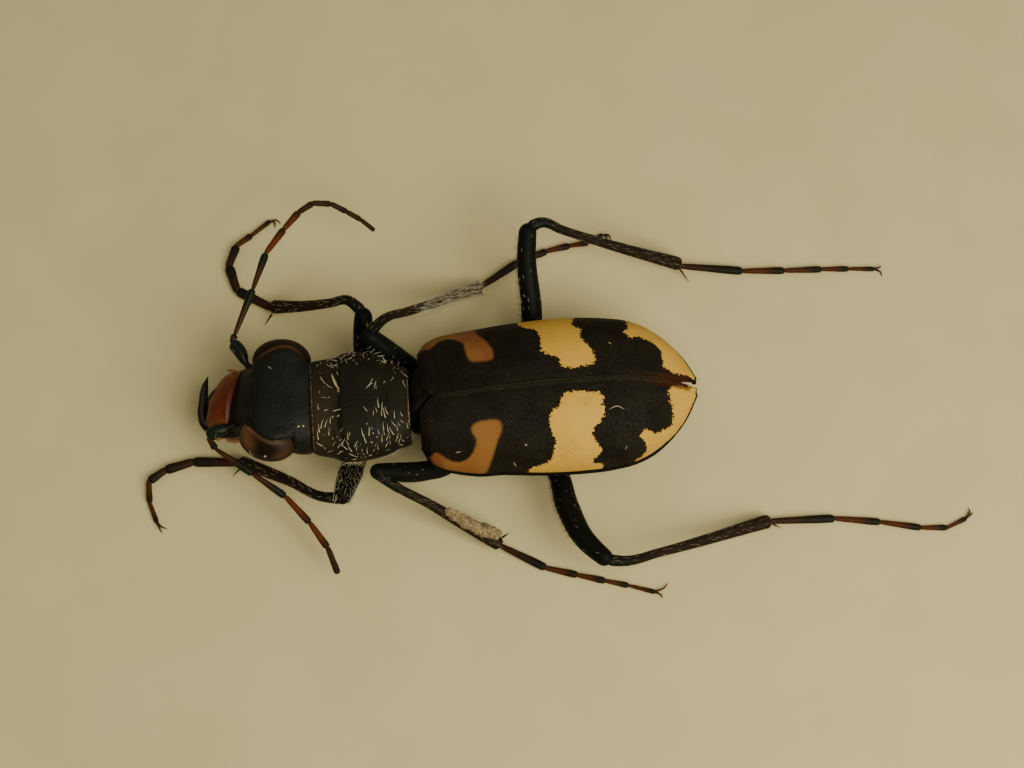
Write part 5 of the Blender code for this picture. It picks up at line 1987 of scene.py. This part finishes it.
@dataclass
class Dust:
    """The few stray fibres and specks that lie on the beetle."""

    fibres: tuple = (
        ((6.41, -1.17), (6.71, -1.06), (6.97, -1.17)), ((6.54, 1.38), (6.6, 1.35), (6.65, 1.29)),
        ((0.85, -2.29), (0.95, -2.27), (1.05, -2.27)), ((2.9, -2.64), (2.95, -2.69), (2.99, -2.73)),
        ((6.99, -2.33), (6.96, -2.38), (6.93, -2.43)), ((-5.73, 1.31), (-5.66, 1.25), (-5.58, 1.18)),
        ((-6.52, -1.76), (-6.43, -1.77), (-6.34, -1.77)),
        ((-3.45, 0.9), (-3.39, 0.67), (-3.29, 0.4), (-3.18, 0.22)),
    )
    specks: tuple = ((-4.72, -0.99), (-4.55, -0.97), (3.38, -2.21), (-5.98, -1.9))
    thickness: float = 0.018

    def drop(self, point: Sequence[float], hosts: Sequence[Piece]) -> Array:
        """The point's spot on the topmost piece below it.

        Args:
            point: A spot seen from above.
            hosts: Pieces that it may lie on.

        Returns:
            The spot with its height.
        """
        start = Vector(((point[0] - FRAME_ORIGIN[0]) * MM, (point[1] - FRAME_ORIGIN[1]) * MM, 0.02))
        hits = [host.ray_cast(start, Vector((0.0, 0.0, -1.0))) for host in hosts]
        heights = [hit[1].z / MM for hit in hits if hit[0]]
        return np.array([point[0], point[1], max(heights, default=4.0) + self.thickness])

    def build(self) -> None:
        """Casts the dust as one piece."""
        names = ("head_shell", "eye_left_fine", "pronotum_and_sides", "wing_case_left", "wing_case_right")
        hosts = [bpy.data.objects[name] for name in names]
        mould = Mould("stray_dust")
        for fibre in self.fibres:
            line = path_through([self.drop(point, hosts) for point in fibre], 16)
            thickness = self.thickness * (2.6 if len(fibre) > 3 else 1.0)
            mould.add(tube(line, thickness * np.sin(np.linspace(0.2, math.pi - 0.2, 16)), 8, 0.5))
        for speck in self.specks:
            mould.add(ball(self.drop(speck, hosts), (0.05, 0.04, 0.03), 8, 10))
        mould.cast([LINT], "palp_cream")


class Studio:
    """The pale floor, soft lights and the camera at the photograph's angle."""

    TILT = math.radians(18.0)
    ROLL = math.radians(3.3)
    CAMERA = (-1.4913, -47.942, 149.7459)
    LENS = 150.0
    WARM = (1.0, 0.94, 0.76)
    LAMPS = (
        ("soft_key", (46.0, -66.0, 160.0), 0.1, 0.262),
        ("soft_low", (38.0, -40.0, 50.0), 0.04, 0.05),
        ("soft_fill", (-90.0, 100.0, 230.0), 0.14, 0.09),
    )
    AIR_STRENGTH = 0.28
    FLOOR_REACH = 1.5
    CLIP = (0.005, 10.0)

    def floor(self) -> None:
        """A pale warm floor."""
        mesh = bpy.data.meshes.new("floor")
        reach = self.FLOOR_REACH
        corners = [(-reach, -reach, 0.0), (reach, -reach, 0.0), (reach, reach, 0.0), (-reach, reach, 0.0)]
        mesh.from_pydata(corners, [], [(0, 1, 2, 3)])
        made = bpy.data.materials.new("pale_floor")
        made.use_nodes = True
        bench = Bench(made.node_tree)
        shader = made.node_tree.nodes["Principled BSDF"]
        shader.inputs["Roughness"].default_value = 0.9
        shader.inputs["Specular IOR Level"].default_value = 0.1
        pale, paler = colour(0.4, 0.35, 0.182), colour(0.42, 0.367, 0.194)
        drift = bench.group(Effects.drift(), First=pale, Second=paler, Scale=0.25)
        bench.feed(shader, {"Base Color": drift.outputs[0]})
        mesh.materials.append(made)
        floor = bpy.data.objects.new("floor", mesh)
        bpy.context.scene.collection.objects.link(floor)

    def lamp(self, name: str, place: tuple, size: float, power: float) -> None:
        """A square soft box, turned to the beetle.

        Args:
            name: Its name.
            place: Where it stands, in millimetres.
            size: Length of its side, in metres.
            power: Its power, in watts.
        """
        light = bpy.data.lights.new(name, "AREA")
        light.size = size
        light.energy = power
        light.color = self.WARM
        lamp = bpy.data.objects.new(name, light)
        lamp.location = Vector(place) * MM
        lamp.rotation_euler = (-lamp.location).to_track_quat("-Z", "Y").to_euler()
        bpy.context.scene.collection.objects.link(lamp)

    def build(self) -> None:
        """Sets up the camera, the lights, the world and the floor."""
        self.floor()
        for name, place, size, power in self.LAMPS:
            self.lamp(name, place, size, power)
        world = bpy.data.worlds.new("studio_air")
        world.use_nodes = True
        world.node_tree.nodes["Background"].inputs["Color"].default_value = colour(*self.WARM)
        world.node_tree.nodes["Background"].inputs["Strength"].default_value = self.AIR_STRENGTH
        bpy.context.scene.world = world
        ahead = Vector((0.0, math.sin(self.TILT), -math.cos(self.TILT)))
        plain_up = Vector((0.0, math.cos(self.TILT), math.sin(self.TILT)))
        right = math.cos(self.ROLL) * Vector((1.0, 0.0, 0.0)) - math.sin(self.ROLL) * plain_up
        above = math.sin(self.ROLL) * Vector((1.0, 0.0, 0.0)) + math.cos(self.ROLL) * plain_up
        lens = bpy.data.cameras.new("camera")
        lens.lens = self.LENS
        lens.clip_start, lens.clip_end = self.CLIP
        camera = bpy.data.objects.new("camera", lens)
        turn = Matrix((right, above, -ahead)).transposed()
        camera.matrix_world = Matrix.Translation(Vector(self.CAMERA) * MM) @ turn.to_4x4()
        bpy.context.scene.collection.objects.link(camera)
        bpy.context.scene.camera = camera


def main() -> None:
    """Builds every sub-assembly in order."""
    logging.basicConfig(level=logging.INFO, format="%(name)s: %(message)s")
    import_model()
    brush = BristleBrush()
    Studio().build()
    Head().build(brush)
    for feeler in FEELERS:
        feeler.build(brush)
    Trunk().build(brush)
    for side in Side:
        Elytron(side).build()
    for leg in LEGS:
        leg.build(brush)
    Dust().build()


if __name__ == "__main__":
    main()
